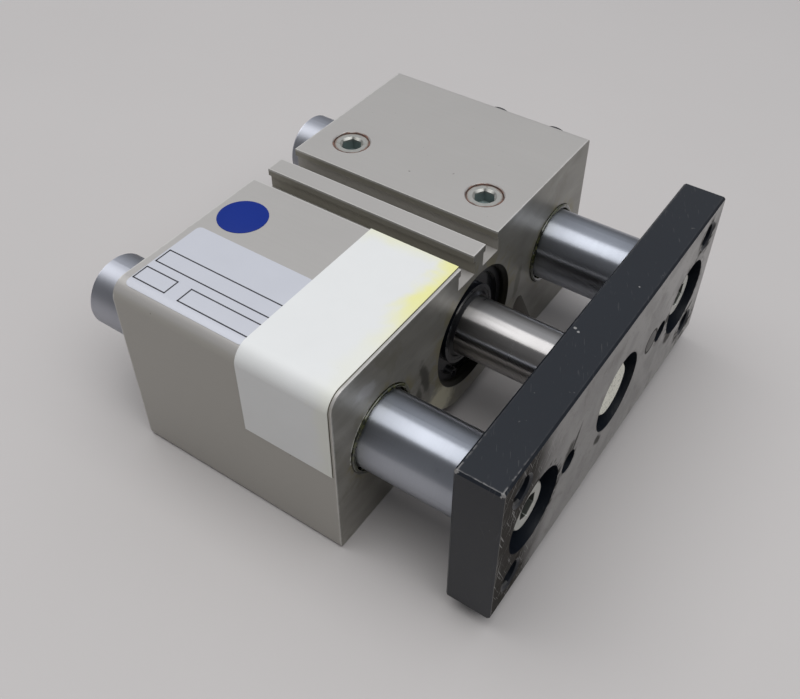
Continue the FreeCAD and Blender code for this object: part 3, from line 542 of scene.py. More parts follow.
@dataclass(frozen=True)
class AnodisedBody(Finish):
    """Clear-anodised extrusion: drawn sides, a milled front face and stains round its bores, with painted
    shade on its sides, slot walls, bore and creases, a painted glint, sheen and lit patch, and a painted
    highlight on its worn edges.
    """

    centre: Point = (0, 0, 26)
    half: Point = (31.25, 57.75, 26)
    axis: float = AXIS_HEIGHT
    guide: float = GUIDE_OFFSET
    line: Colour = (0.30, 0.285, 0.26)
    # Darker, warmer colour for the sides: painted shade.
    flank_shade: Colour = (0.325, 0.310, 0.270)
    # Darker colour for the slot walls: painted shade in the slots.
    slot_shade: Colour = (0.20, 0.185, 0.135)
    grease: Colour = (0.22, 0.19, 0.09)
    bare: Colour = (0.62, 0.61, 0.58)
    # Near-black colour for the barrel bore's wall: painted shade in the bore.
    mouth: Colour = (0.014, 0.013, 0.009)
    bore_shade_radius: float = 16.9
    # Radius of the painted glint on the left guide bore's rim.
    glint_rim: float = 11.75
    # Ovals on the milled face: a tint with a painted lit patch, painted shade in creases, and a painted
    # sheen.
    stains_shade_and_sheen: tuple[Oval, ...] = (
        # Olive-tan tint, much lightened as a painted lit patch on the pocket below the barrel.
        Oval(-15.5, 12.5, 8.0, 9.0, 0.5, (0.74, 0.70, 0.52)),
        # Painted shade in the creases either side of the barrel.
        Oval(-22.8, 28.0, 2.0, 8.5, -0.25, (0.03, 0.028, 0.021)),
        Oval(-25.6, 23.0, 1.9, 5.0, 0.15, (0.03, 0.028, 0.02)),
        Oval(22.0, 26.0, 2.0, 7.0, 0.2, (0.09, 0.085, 0.065)),
        # Painted sheen on the face above and left of the left guide bore.
        Oval(-46.0, 44.5, 6.0, 2.5, 0.3, (0.36, 0.35, 0.345)),
    )

    def paint(self, graph: Graph, place: Socket) -> dict[str, Value]:
        """Paint drawing lines, milled ends, grease stains, painted shade, a painted glint, sheen and lit
        patch, worn edges with a painted highlight, and small nicks.

        Args:
            graph: Graph of the material.
            place: Place on the object in millimetres.

        Returns:
            Values by input name.
        """
        x, y, z = graph.split(place)
        facing = graph.split(graph.add("NewGeometry").outputs["Normal"])
        milled = graph.fade(graph.size(facing[0]), 0.8, 0.95)

        clouds = graph.cloud(place, 0.05, 4.0, 0.3)
        base = graph.blend(clouds, shaded(self.colour, 0.93), self.colour)
        drawn = graph.cloud(graph.stretch(place, (0.02, 1.6, 1.6)), 1.0, 3.0)
        base = graph.blend(graph.times(drawn, 0.2), base, self.line)

        # Faces turned along Y are darkened and warmed: painted shade on the sides.
        flank = graph.fade(graph.size(facing[1]), 0.75, 0.95)
        base = graph.blend(graph.times(flank, 0.6), base, self.flank_shade)
        # Slot walls below the top are darkened further: painted shade in the slots.
        inside = graph.times(graph.fade(graph.size(y), 9.2, 8.8), graph.fade(z, 51.6, 51.2))
        base = graph.blend(graph.times(graph.times(inside, flank), 0.6), base, self.slot_shade)

        smear = graph.cloud(graph.stretch(place, (1.0, 0.05, 0.16), (0.7, 0, 0)), 1.0, 4.0, 0.8)
        machined = graph.blend(smear, (0.125, 0.12, 0.10), (0.35, 0.335, 0.305))
        blotch = graph.use(patches(), Place=place, Scale=0.09, Cover=0.55).outputs[0]
        machined = graph.blend(graph.times(blotch, 0.5), machined, (0.17, 0.16, 0.125))
        base = graph.blend(milled, base, machined)

        stain: Value = 0.0
        for across, inner, outer in ((0.0, 17.5, 24.0), (-self.guide, 12.0, 15.0), (self.guide, 12.0, 15.0)):
            ring = graph.use(about_axis(), Place=place, Across=across, Up=self.axis).outputs["Radius"]
            near = graph.fade(ring, outer, inner)
            stain = graph.larger(stain, near)
        wet = graph.fade(graph.cloud(place, 0.22, 3.0, 1.0), 0.42, 0.62)
        stain = graph.times(graph.times(stain, wet), milled)
        base = graph.blend(graph.times(stain, 0.6), base, self.grease)

        # Lay the ovals on the milled face: a tint with a painted lit patch, painted shade and a painted
        # sheen.
        ahead = graph.times(graph.times(milled, graph.fade(x, 0.0, 5.0)), 0.8)
        for mark in self.stains_shade_and_sheen:
            base = graph.blend(graph.times(mark.mask(graph, place), ahead), base, mark.colour)
        # A broken bright arc on the upper left of the left guide bore's rim: a painted glint.
        left_guide = graph.use(about_axis(), Place=place, Across=-self.guide, Up=self.axis)
        bright = graph.size(graph.minus(left_guide.outputs["Radius"], self.glint_rim))
        broken = graph.fade(graph.cloud(place, 0.5, 2.0), 0.45, 0.52)
        bright = graph.times(graph.fade(bright, 0.35, 0.15), broken)
        bright = graph.times(bright, graph.fade(y, -self.guide - 1.0, -self.guide - 6.0))
        bright = graph.times(bright, graph.fade(z, self.axis - 6.0, self.axis))
        base = graph.blend(graph.times(bright, 0.9), base, (0.80, 0.79, 0.74))

        # The bore wall inside the mouth turns near black with weak specular: painted shade in the bore.
        bore = graph.use(about_axis(), Place=place, Across=0.0, Up=self.axis).outputs["Radius"]
        mouth = graph.fade(bore, self.bore_shade_radius + 0.25, self.bore_shade_radius)
        base = graph.blend(mouth, base, self.mouth)

        # Outer edges and slot edges turn bright: bare worn metal with a painted highlight along them.
        edges = graph.use(block_edges(), Place=place, Centre=self.centre, Half=self.half, Width=0.45)
        aside = graph.size(y)
        rail = graph.size(graph.minus(aside, RAIL_HALF_WIDTH))
        lip = graph.size(graph.minus(aside, RAIL_HALF_WIDTH + SLOT_MOUTH))
        slot_edge = graph.fade(graph.math("MINIMUM", rail, lip), 0.35, 0.1)
        slot_edge = graph.times(slot_edge, graph.fade(z, 51.2, 51.8))
        wear_and_highlight = graph.times(graph.larger(edges.outputs[0], slot_edge), 0.5)
        base = graph.blend(wear_and_highlight, base, self.bare)

        nick = graph.fade(graph.cloud(place, 0.9, 1.0), 0.79, 0.82)
        base = graph.blend(graph.times(nick, 0.6), base, (0.12, 0.11, 0.10))

        height = graph.use(grain(), Place=place, Grain=4.0, Draw=(0.05, 5.0, 5.0)).outputs[0]
        rough = graph.between(clouds, self.roughness * 0.92, self.roughness * 1.1)
        return {
            "Base Color": base,
            "Roughness": graph.minus(rough, graph.times(milled, 0.08)),
            "Specular IOR Level": graph.between(mouth, self.specular, 0.08),
            "Height": graph.minus(height, graph.times(nick, 3.0)),
        }


@dataclass(frozen=True)
class WornBlackening(Finish):
    """Blackened steel block whose front face is rubbed back to bare metal."""

    centre: Point = (65.2, 0, 27.2)
    half: Point = (5.65, 56.6, 22.7)
    bare: Colour = (0.36, 0.35, 0.34)
    soil: Colour = (0.022, 0.018, 0.013)
    guide: float = GUIDE_OFFSET
    smears: tuple[Oval, ...] = (
        Oval(-22.6, 32.0, 1.1, 6.5, 0.44), Oval(-7.4, 17.0, 2.0, 3.0, -0.7), Oval(-25.6, 30.0, 2.8, 5.0, 0.3),
        Oval(29.6, 28.0, 3.4, 2.6, 0.0), Oval(34.0, 18.0, 4.0, 3.0, 0.4), Oval(-52.0, 22.0, 2.0, 8.0, 0.1),
    )
    holes: tuple[Point, ...] = (
        (-48.25, 42.4, 6.8), (-48.25, 12.0, 9.0), (-GUIDE_OFFSET, AXIS_HEIGHT, 13.2),
        (0.0, AXIS_HEIGHT, 11.5), (GUIDE_OFFSET, AXIS_HEIGHT, 12.6), (48.25, 12.0, 8.0),
        (48.25, 42.4, 6.8), (-25.0, AXIS_HEIGHT, 4.6), (25.0, AXIS_HEIGHT, 4.8),
    )
    chips: tuple[Point, ...] = ((61.0, -8.7, 0.45), (62.1, -9.3, 0.4), (67.0, 11.8, 0.25))
    spot_across: float = 19.1
    spot_up: float = 28.6

    def paint(self, graph: Graph, place: Socket) -> dict[str, Value]:
        """Paint the rubbed face, dark marks round its holes, smears, worn edges and nicks.

        Args:
            graph: Graph of the material.
            place: Place on the object in millimetres.

        Returns:
            Values by input name, and Metallic with them.
        """
        x, y, _ = graph.split(place)
        facing = graph.split(graph.add("NewGeometry").outputs["Normal"])
        front, back = self.centre[0] + self.half[0], self.centre[0] - self.half[0]
        left, top = self.centre[1] - self.half[1], self.centre[2] + self.half[2]
        rubbed = graph.times(graph.fade(facing[0], 0.86, 0.97), graph.fade(x, front - 0.5, front - 0.3))
        upward = graph.fade(facing[2], 0.8, 0.95)

        cloud = graph.cloud(place, 0.07, 5.0, 0.4)
        dark = graph.blend(cloud, shaded(self.colour, 0.8), self.colour)
        bloom = graph.use(patches(), Place=place, Scale=0.12, Cover=0.35).outputs[0]
        dark = graph.blend(graph.times(bloom, 0.3), dark, (0.030, 0.031, 0.036))
        dark = graph.blend(graph.times(rubbed, 0.8), dark, self.soil)

        mottle = graph.cloud(place, 0.13, 5.0, 0.5)
        metal = graph.blend(graph.fade(y, -30.0, 45.0), shaded(self.bare, 0.8), self.bare)
        metal = graph.blend(graph.fade(mottle, 0.58, 0.36), metal, shaded(self.bare, 0.68))
        pits = graph.fade(graph.cloud(graph.stretch(place, (1, 0.8, 1.5)), 0.9, 3.0), 0.6, 0.68)
        metal = graph.blend(graph.times(pits, 0.35), metal, (0.10, 0.095, 0.085))
        dirt = graph.use(patches(), Place=place, Scale=0.16, Cover=0.5).outputs[0]
        metal = graph.blend(graph.times(dirt, 0.5), metal, (0.12, 0.11, 0.095))

        kept: Value = 0.0
        for across, up, outer in self.holes:
            ring = graph.use(about_axis(), Place=place, Across=across, Up=up).outputs["Radius"]
            kept = graph.larger(kept, graph.fade(ring, outer, outer - 2.4))
        streaks = graph.cloud(graph.stretch(place, (1, 0.25, 0.5), (0.5, 0, 0)), 1.0, 4.0, 0.7)
        kept = graph.times(kept, graph.fade(streaks, 0.4, 0.62))
        for mark in self.smears:
            kept = graph.larger(kept, graph.times(mark.mask(graph, place), 0.85))
        end = graph.fade(graph.plus(y, graph.times(cloud, 18.0)), -20.0, -37.0)
        lines = graph.use(scratches(), Place=place, Cover=0.58).outputs[0]
        end = graph.times(end, graph.minus(1.0, graph.times(lines, 0.75)))
        kept = graph.larger(kept, graph.times(end, 0.96))
        dot = graph.use(about_axis(), Place=place, Across=self.spot_across, Up=self.spot_up).outputs["Radius"]
        ring_mark = graph.fade(graph.size(graph.minus(dot, 3.2)), 0.6, 0.2)
        spot = graph.larger(graph.times(graph.fade(dot, 3.5, 3.1), 0.6), ring_mark)
        kept = graph.larger(kept, graph.times(spot, 0.9))
        kept = graph.times(kept, rubbed)
        shown = graph.times(graph.minus(rubbed, kept), 0.85)

        rim = graph.use(block_edges(), Place=place, Centre=self.centre, Half=self.half, Width=0.4, Inset=0.5)
        near_end = graph.between(graph.fade(y, -40.0, -56.5), 0.04, 0.6)
        near_end = graph.times(near_end, graph.fade(graph.cloud(place, 0.5, 3.0), 0.38, 0.58))
        edge = graph.times(graph.times(rim.outputs[0], upward), near_end)
        upright = graph.times(graph.fade(y, left + 1.1, left + 0.6), rubbed)
        edge = graph.larger(edge, graph.times(upright, 0.4))
        corners = ((back + 0.5, left + 0.2, 0.75), (front - 0.2, left + 0.2, 0.85))
        for along, across, radius in (*corners, *self.chips):
            mask = graph.use(speck(), Place=place, Middle=(along, across, top), Radius=radius).outputs[0]
            edge = graph.larger(edge, graph.times(mask, 0.9))
        nick = graph.fade(graph.cloud(place, 0.55, 2.0), 0.745, 0.78)
        turned = graph.stretch(place, (0.8, 0.8, 0.8), (0, 0, 1.1))
        light = graph.use(scratches(), Place=turned, Cover=0.2).outputs[0]
        rub = graph.larger(graph.times(nick, 0.25), graph.times(light, 0.08))
        bared = graph.larger(graph.larger(shown, edge), rub)
        height = graph.use(grain(), Place=place, Grain=3.0, Draw=(3.0, 0.2, 3.0)).outputs[0]
        return {
            "Base Color": graph.blend(bared, dark, metal),
            "Metallic": graph.between(bared, self.metallic, 0.55),
            "Roughness": graph.between(kept, self.roughness, 0.6),
            "Specular IOR Level": graph.between(kept, self.specular, 0.04),
            "Height": graph.minus(height, graph.times(lines, 0.8)),
        }


@dataclass(frozen=True)
class GroundRod(Finish):
    """Ground and polished bar with faint rings, long rub marks and a thin film of grease."""

    across: float = 0.0
    up: float = AXIS_HEIGHT
    ring: float = 2.2
    film: Colour = (0.30, 0.31, 0.22)
    dull: Colour = (0.60, 0.61, 0.66)
    film_from: float = 38.0
    film_to: float = 31.0

    def paint(self, graph: Graph, place: Socket) -> dict[str, Value]:
        """Paint grinding rings, sliding marks and the greasy band by the housing.

        Args:
            graph: Graph of the material.
            place: Place on the object in millimetres.

        Returns:
            Values by input name.
        """
        x, _, _ = graph.split(place)
        rings = graph.cloud(graph.stretch(place, (self.ring, 0.05, 0.05)), 1.0, 4.0)
        turn = graph.use(about_axis(), Place=place, Across=self.across, Up=self.up).outputs["Turn"]
        round_place = graph.add("CombineXYZ", {0: graph.times(x, 0.03), 1: graph.times(turn, 9.0)})
        marks = graph.cloud(round_place.outputs[0], 1.0, 4.0)
        base = graph.blend(rings, shaded(self.colour, 0.86), self.colour)
        base = graph.blend(graph.fade(marks, 0.58, 0.75), base, shaded(self.colour, 0.8))
        greasy = graph.plus(x, graph.times(graph.cloud(place, 0.3, 3.0), 6.0))
        greasy = graph.times(graph.fade(greasy, self.film_from, self.film_to), graph.fade(x, 20.0, 26.0))
        base = graph.blend(graph.times(greasy, 0.45), base, self.film)
        smudge = graph.use(patches(), Place=place, Scale=0.12, Cover=0.4).outputs[0]
        rear = graph.fade(x, -28.0, -32.0)
        base = graph.blend(graph.times(rear, 0.8), base, self.dull)
        rough = graph.plus(graph.between(rings, self.roughness * 0.8, self.roughness * 1.2),
                           graph.times(graph.larger(smudge, graph.times(rear, 4.5)), 0.07))
        around = graph.add("Tangent", direction_type="RADIAL", axis="X").outputs[0]
        return {"Base Color": base, "Roughness": rough, "Height": rings, "Tangent": around}


@dataclass(frozen=True)
class PlatedSteel(Finish):
    """Zinc-plated steel: mottled, a little yellow, dirty in patches, and with painted shade down its socket
    where deep_from is set.
    """

    dirt: Colour = (0.20, 0.18, 0.14)
    cover: float = 0.4
    speckle: float = 0.0
    mottle: float = 0.75
    deep_axis: int = 2
    deep_from: float | None = None
    deep_run: float = 0.9
    deep_share: float = 0.9
    recess_shade_colour: Colour = (0.045, 0.060, 0.060)

    def paint(self, graph: Graph, place: Socket) -> dict[str, Value]:
        """Paint the mottle, the dirt, the fine dark specks and any painted shade down a socket.

        Args:
            graph: Graph of the material.
            place: Place on the object in millimetres.

        Returns:
            Values by input name.
        """
        mottle = graph.cloud(place, 0.9, 4.0, 0.5)
        base = graph.blend(mottle, shaded(self.colour, self.mottle), self.colour)
        grime = graph.use(patches(), Place=place, Scale=0.35, Cover=self.cover).outputs[0]
        base = graph.blend(graph.times(grime, 0.6), base, self.dirt)
        specks = graph.fade(graph.cloud(place, 1.7, 3.0), 0.58, 0.68)
        base = graph.blend(graph.times(specks, self.speckle), base, (0.16, 0.15, 0.11))
        # Deeper than deep_from the colour runs to a dark tone: painted shade down in the socket.
        if self.deep_from is not None:
            depth = graph.split(place)[self.deep_axis]
            deep = graph.fade(depth, self.deep_from, self.deep_from - self.deep_run)
            base = graph.blend(graph.times(deep, self.deep_share), base, self.recess_shade_colour)
        rough = graph.between(mottle, self.roughness * 0.8, self.roughness * 1.25)
        height = graph.use(grain(), Place=place, Grain=2.0).outputs[0]
        return {"Base Color": base, "Roughness": rough, "Height": height}


@dataclass(frozen=True)
class SealedPlug(PlatedSteel):
    """Plated plug whose rim carries dried red-brown sealant."""

    seats: tuple[tuple[float, float], ...] = ((20.85, 19.5), (-20.85, 19.5))
    sealant: Colour = (0.26, 0.18, 0.145)
    rim: float = 4.2

    def paint(self, graph: Graph, place: Socket) -> dict[str, Value]:
        """Paint the plating, then the sealant outside the rim of each plug.

        Args:
            graph: Graph of the material.
            place: Place on the object in millimetres.

        Returns:
            Values by input name.
        """
        painted = super().paint(graph, place)
        x, y, _ = graph.split(place)
        nearest: Value = 100.0
        for along, across in self.seats:
            squares = graph.math(
                "ADD",
                graph.math("POWER", graph.minus(x, along), 2.0),
                graph.math("POWER", graph.minus(y, across), 2.0),
            )
            nearest = graph.math("MINIMUM", nearest, graph.math("SQRT", squares))
        ragged = graph.times(graph.cloud(place, 0.8, 3.0), 0.9)
        share = graph.fade(graph.plus(nearest, ragged), self.rim + 0.3, self.rim + 0.8)
        painted["Base Color"] = graph.blend(graph.times(share, 0.85), painted["Base Color"], self.sealant)
        return painted


@dataclass(frozen=True)
class Film(Finish):
    """Printed or coated film with faint waves and dust."""

    aged: Colour = (0.72, 0.70, 0.27)
    front: float | None = None
    inner: float = -8.0
    dust: float = 0.15

    def paint(self, graph: Graph, place: Socket) -> dict[str, Value]:
        """Paint the film, and the yellowed edge where it has one.

        Args:
            graph: Graph of the material.
            place: Place on the object in millimetres.

        Returns:
            Values by input name.
        """
        x, y, _ = graph.split(place)
        cloud = graph.cloud(place, 0.12, 4.0)
        base = graph.blend(cloud, shaded(self.colour, 0.95), self.colour)
        if self.front is not None:
            wander = graph.times(graph.minus(graph.cloud(place, 0.13, 3.0, 0.6), 0.5), 9.0)
            by_front = graph.fade(graph.plus(x, wander), self.front - 6.5, self.front - 0.5)
            by_inner = graph.fade(graph.plus(y, wander), self.inner - 5.0, self.inner + 3.0)
            on_top = graph.fade(y, -44.0, -20.0)
            nearest = graph.larger(by_front, graph.times(by_inner, 0.45))
            aged = graph.times(nearest, graph.between(on_top, 0.12, 1.0))
            base = graph.blend(graph.times(aged, 0.9), base, self.aged)
        grime = graph.use(patches(), Place=place, Scale=0.2, Cover=0.25).outputs[0]
        base = graph.blend(graph.times(grime, self.dust), base, (0.40, 0.38, 0.34))
        waves = graph.cloud(place, 0.16, 2.0)
        return {
            "Base Color": base,
            "Roughness": graph.between(cloud, self.roughness * 0.9, self.roughness * 1.1),
            "Height": waves,
        }


@dataclass(frozen=True)
class Paste(Finish):
    """Grease or sealant: uneven in colour and wet in places."""

    second: Colour = (0.1, 0.1, 0.05)

    def paint(self, graph: Graph, place: Socket) -> dict[str, Value]:
        """Paint two tones and uneven gloss.

        Args:
            graph: Graph of the material.
            place: Place on the object in millimetres.

        Returns:
            Values by input name.
        """
        tone = graph.fade(graph.cloud(place, 0.9, 4.0, 0.5), 0.4, 0.62)
        return {
            "Base Color": graph.blend(tone, self.second, self.colour),
            "Roughness": graph.between(tone, self.roughness * 0.7, self.roughness * 1.3),
            "Height": graph.cloud(place, 1.6, 3.0),
        }


@dataclass(frozen=True)
class PaleFloor(Finish):
    """Plain matt floor."""

    def paint(self, graph: Graph, place: Socket) -> dict[str, Value]:
        """Paint very faint, wide clouds.

        Args:
            graph: Graph of the material.
            place: Place on the object in millimetres.

        Returns:
            Values by input name.
        """
        cloud = graph.cloud(place, 0.012, 3.0)
        return {"Base Color": graph.blend(cloud, shaded(self.colour, 0.96), self.colour)}


# ---------------------------------------------------------------------------------------------
# Modelling helpers.


def finish_piece(name: str, mesh: bmesh.types.BMesh, body: str, slot: str, look: bpy.types.Material,
                 sharp: float = 35.0, mend: bool = True) -> bpy.types.Object:
    """Turn a bmesh drawn in millimetres into a piece that rides on a body.

    Args:
        name: Name of the piece.
        mesh: Its shape, which is freed.
        body: Body that it moves with.
        slot: Material slot that it stands for; not used.
        look: Its material.
        sharp: Angle in degrees above which an edge stays sharp.
        mend: Whether to merge doubles and recalculate the normals.

    Returns:
        The new object.
    """
    if mend:
        bmesh.ops.remove_doubles(mesh, verts=mesh.verts, dist=1e-4)
        bmesh.ops.recalc_face_normals(mesh, faces=mesh.faces)
    bmesh.ops.scale(mesh, vec=(MM, MM, MM), verts=mesh.verts)
    data = bpy.data.meshes.new(name)
    mesh.to_mesh(data)
    mesh.free()
    for polygon in data.polygons:
        polygon.use_smooth = True
    data.set_sharp_from_angle(angle=math.radians(sharp))
    data.materials.append(look)
    piece = bpy.data.objects.new(name, data)
    bpy.context.scene.collection.objects.link(piece)
    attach(piece, body)
    log.info("%s: %d faces on %s", name, len(data.polygons), body)
    return piece


def grow(mesh: bmesh.types.BMesh, rim: Sequence[bmesh.types.BMEdge],
         section: Callable[[float], tuple[float, float]], level: float) -> list[bmesh.types.BMEdge]:
    """Extrude a closed rim to its next section, which is drawn about the Z axis.

    Args:
        mesh: Mesh that holds the rim.
        rim: Edges of the open rim.
        section: Gives the radius and a lift for each angle.
        level: Height of the new section.

    Returns:
        Edges of the new rim.
    """
    made = bmesh.ops.extrude_edge_only(mesh, edges=list(rim))["geom"]
    for vertex in (item for item in made if isinstance(item, bmesh.types.BMVert)):
        angle = math.atan2(vertex.co.y, vertex.co.x)
        radius, lift = section(angle)
        vertex.co = (radius * math.cos(angle), radius * math.sin(angle), level + lift)
    return [item for item in made if isinstance(item, bmesh.types.BMEdge)]


def plain(radius: float) -> Callable[[float], tuple[float, float]]:
    """Return a round section."""
    return lambda angle: (radius, 0.0)


def hexagon(across_flats: float) -> Callable[[float], tuple[float, float]]:
    """Return a hexagonal section."""

    def section(angle: float) -> tuple[float, float]:
        """Give the radius of the hexagon at an angle."""
        part = angle % (math.pi / 3) - math.pi / 6
        return across_flats / 2 / math.cos(part), 0.0

    return section


def knurl(radius: float, depth: float, teeth: int) -> Callable[[float], tuple[float, float]]:
    """Return a round section with straight teeth."""
    return lambda angle: (radius - depth * (0.5 + 0.5 * math.cos(teeth * angle)), 0.0)


def grow_up(sections: Sequence[tuple[Callable[[float], tuple[float, float]], float]],
            steps: int) -> bmesh.types.BMesh:
    """Grow a closed shape about the Z axis through a row of sections.

    Args:
        sections: Section and height of each level, the first one capped.
        steps: Corners of each section.

    Returns:
        The closed shape.
    """
    mesh = bmesh.new()
    foot = bmesh.ops.create_circle(mesh, cap_ends=True, segments=steps, radius=sections[0][0](0.0)[0])
    bmesh.ops.translate(mesh, vec=(0, 0, sections[0][1]), verts=foot["verts"])
    rim = [edge for edge in mesh.edges if edge.is_boundary]
    for section, level in sections[1:]:
        rim = grow(mesh, rim, section, level)
    bmesh.ops.edgeloop_fill(mesh, edges=rim)
    return mesh


def lay_along_x(mesh: bmesh.types.BMesh, along: float, across: float, up: float) -> None:
    """Turn a shape drawn about Z so that it points along X, and set it in its place.

    Args:
        mesh: Shape to move.
        along: X of its origin.
        across: Y of its origin.
        up: Z of its origin.
    """
    turn = Matrix.Rotation(math.pi / 2, 4, "Y")
    bmesh.ops.transform(mesh, matrix=Matrix.Translation((along, across, up)) @ turn, verts=mesh.verts)


# ---------------------------------------------------------------------------------------------
# Pieces on the housing.


@dataclass
class HousingShape:
    """The housing's outside, as the labels need it."""

    edge_radius: float = 4.5
    half_width: float = field(init=False)
    top: float = field(init=False)
    front: float = field(init=False)

    def __post_init__(self) -> None:
        """Read the block's size from its node."""
        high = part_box("housing")[1]
        self.half_width = high.y / MM
        self.top = high.z / MM
        self.front = high.x / MM

    def skin(self, along: float, run: float, lift: float) -> Vector:
        """Return a point on or over the skin.

        Args:
            along: X of the point.
            run: Distance from the middle, over the top and down the left side.
            lift: Height over the skin.

        Returns:
            The point.
        """
        flat = self.half_width - self.edge_radius
        corner = self.edge_radius * math.pi / 2
        bend = min(max(run - flat, 0.0), corner) / self.edge_radius
        normal = Vector((0.0, -math.sin(bend), math.cos(bend)))
        centre = Vector((along, -min(run, flat), self.top - self.edge_radius))
        down = Vector((0.0, 0.0, -max(run - flat - corner, 0.0)))
        return centre + normal * (self.edge_radius + lift) + down


@dataclass
class Label:
    """Thin film that lies on the housing's top and may wrap down its left side."""

    name: str
    start: float
    end: float
    inner: float
    outer: float
    thickness: float = 0.12
    lift: float = 0.0
    corner: float = 0.0
    slot: str = "clear_anodised"
    bends: int = 12

    def build(self, shape: HousingShape, look: bpy.types.Material) -> bpy.types.Object:
        """Cut the film, give it its thickness and lay it on the skin.

        Args:
            shape: The housing's outside.
            look: Material of the film.

        Returns:
            The new piece.
        """
        mesh = bmesh.new()
        bmesh.ops.create_grid(mesh, x_segments=1, y_segments=1, size=0.5)
        length, width = self.end - self.start, self.outer - self.inner
        bmesh.ops.scale(mesh, vec=(length, width, 1.0), verts=mesh.verts)
        middle = ((self.start + self.end) / 2, (self.inner + self.outer) / 2, 0.0)
        bmesh.ops.translate(mesh, vec=middle, verts=mesh.verts)
        if self.corner:
            bmesh.ops.bevel(mesh, geom=mesh.verts[:], offset=self.corner, affect="VERTICES",
                            segments=6, profile=0.5, material=-1)
        bend = shape.half_width - shape.edge_radius
        step = shape.edge_radius * math.pi / 2 / self.bends
        for index in range(self.bends + 1):
            place = bend + step * index
            if self.inner < place < self.outer:
                geometry = mesh.verts[:] + mesh.edges[:] + mesh.faces[:]
                bmesh.ops.bisect_plane(mesh, geom=geometry, plane_co=(0, place, 0), plane_no=(0, 1, 0))
        raised = bmesh.ops.extrude_face_region(mesh, geom=mesh.faces[:])["geom"]
        top = [item for item in raised if isinstance(item, bmesh.types.BMVert)]
        bmesh.ops.translate(mesh, vec=(0, 0, self.thickness), verts=top)
        for vertex in mesh.verts:
            vertex.co = shape.skin(vertex.co.x, vertex.co.y, vertex.co.z + self.lift)
        return finish_piece(self.name, mesh, HOUSING, self.slot, look)


@dataclass
class RuledBox:
    """Empty ruled box on the nameplate, drawn as four thin strips of ink."""

    name: str
    start: float
    end: float
    inner: float
    outer: float
    line: float = 0.36
    lift: float = 0.10

    def build(self, shape: HousingShape, look: bpy.types.Material) -> None:
        """Lay the strips on the nameplate.

        Args:
            shape: The housing's outside.
            look: Material of the ink.
        """
        sides = {
            "near": (self.start, self.end, self.outer - self.line, self.outer),
            "far": (self.start, self.end, self.inner, self.inner + self.line),
            "rear": (self.start, self.start + self.line, self.inner, self.outer),
            "front": (self.end - self.line, self.end, self.inner, self.outer),
        }
        for side, (start, end, inner, outer) in sides.items():
            strip = Label(f"{self.name}_{side}", start, end, inner, outer, 0.015, self.lift)
            strip.build(shape, look)


@dataclass
class Markings:
    """What is stuck on the housing: a bare tag, a ruled nameplate and a coloured dot, with a painted shadow
    strip along the tag's front edge.
    """

    tag_front: float = 30.35
    tag_rear: float = 5.5
    tag_inner: float = 8.0
    tag_drop: float = 26.8
    dot_along: float = -23.05
    dot_run: float = 21.9
    dot_radius: float = 6.4

    def build(self, shape: HousingShape) -> None:
        """Build the films, their lines and the painted shadow strip at the tag's front edge.

        Args:
            shape: The housing's outside.
        """
        corner = shape.edge_radius * math.pi / 2
        foot = shape.half_width - shape.edge_radius + corner + shape.top - shape.edge_radius - self.tag_drop
        tag = Film("tag_film", (0.68, 0.685, 0.675), 0.45, front=self.tag_front, bump=0.12, bump_height=0.05)
        label = Label("tag", self.tag_rear, self.tag_front, self.tag_inner, foot, 0.14, 0.09)
        label.build(shape, tag.material())
        # A thin dark strip along the tag's front edge: painted shadow under the film's edge.
        dirt = Finish("edge_shadow", (0.085, 0.075, 0.045), 0.7).material()
        line = Label("tag_edge_shadow", self.tag_front - 0.02, self.tag_front + 0.17, self.tag_inner, foot,
                     0.05)
        line.build(shape, dirt)
        foil = Film("nameplate_foil", (0.50, 0.51, 0.555), 0.36, 0.1, dust=0.2, bump=0.1)
        plate = Label("nameplate", -29.15, self.tag_rear + 0.6, 30.6, 55.4, 0.09, 0.0, 1.4)
        plate.build(shape, foil.material())
        ink = Finish("label_ink", (0.02, 0.02, 0.025), 0.5).material()
        edge = self.tag_rear + 0.4
        RuledBox("box_small", -28.9, -18.9, 48.2, 53.0).build(shape, ink)
        RuledBox("box_wide", -15.0, edge, 48.3, 53.2).build(shape, ink)
        RuledBox("box_long", -28.7, edge, 41.0, 46.0).build(shape, ink)
        self.build_dot(shape)

    def build_dot(self, shape: HousingShape) -> None:
        """Build the round coloured film.

        Args:
            shape: The housing's outside.
        """
        mesh = bmesh.new()
        bmesh.ops.create_cone(mesh, cap_ends=True, segments=96, radius1=self.dot_radius,
                              radius2=self.dot_radius, depth=0.1)
        rim = [edge for edge in mesh.edges if edge.verts[0].co.z > 0 and edge.verts[1].co.z > 0]
        bmesh.ops.bevel(mesh, geom=rim, offset=0.05, affect="EDGES", segments=2, profile=0.5, material=-1)
        place = (self.dot_along, -self.dot_run, shape.top + 0.05)
        bmesh.ops.translate(mesh, vec=place, verts=mesh.verts)
        blue = Film("blue_film", (0.004, 0.022, 0.20), 0.5, dust=0.02, specular=0.12, bump=0.06)
        finish_piece("blue_dot", mesh, HOUSING, "clear_anodised", blue.material())


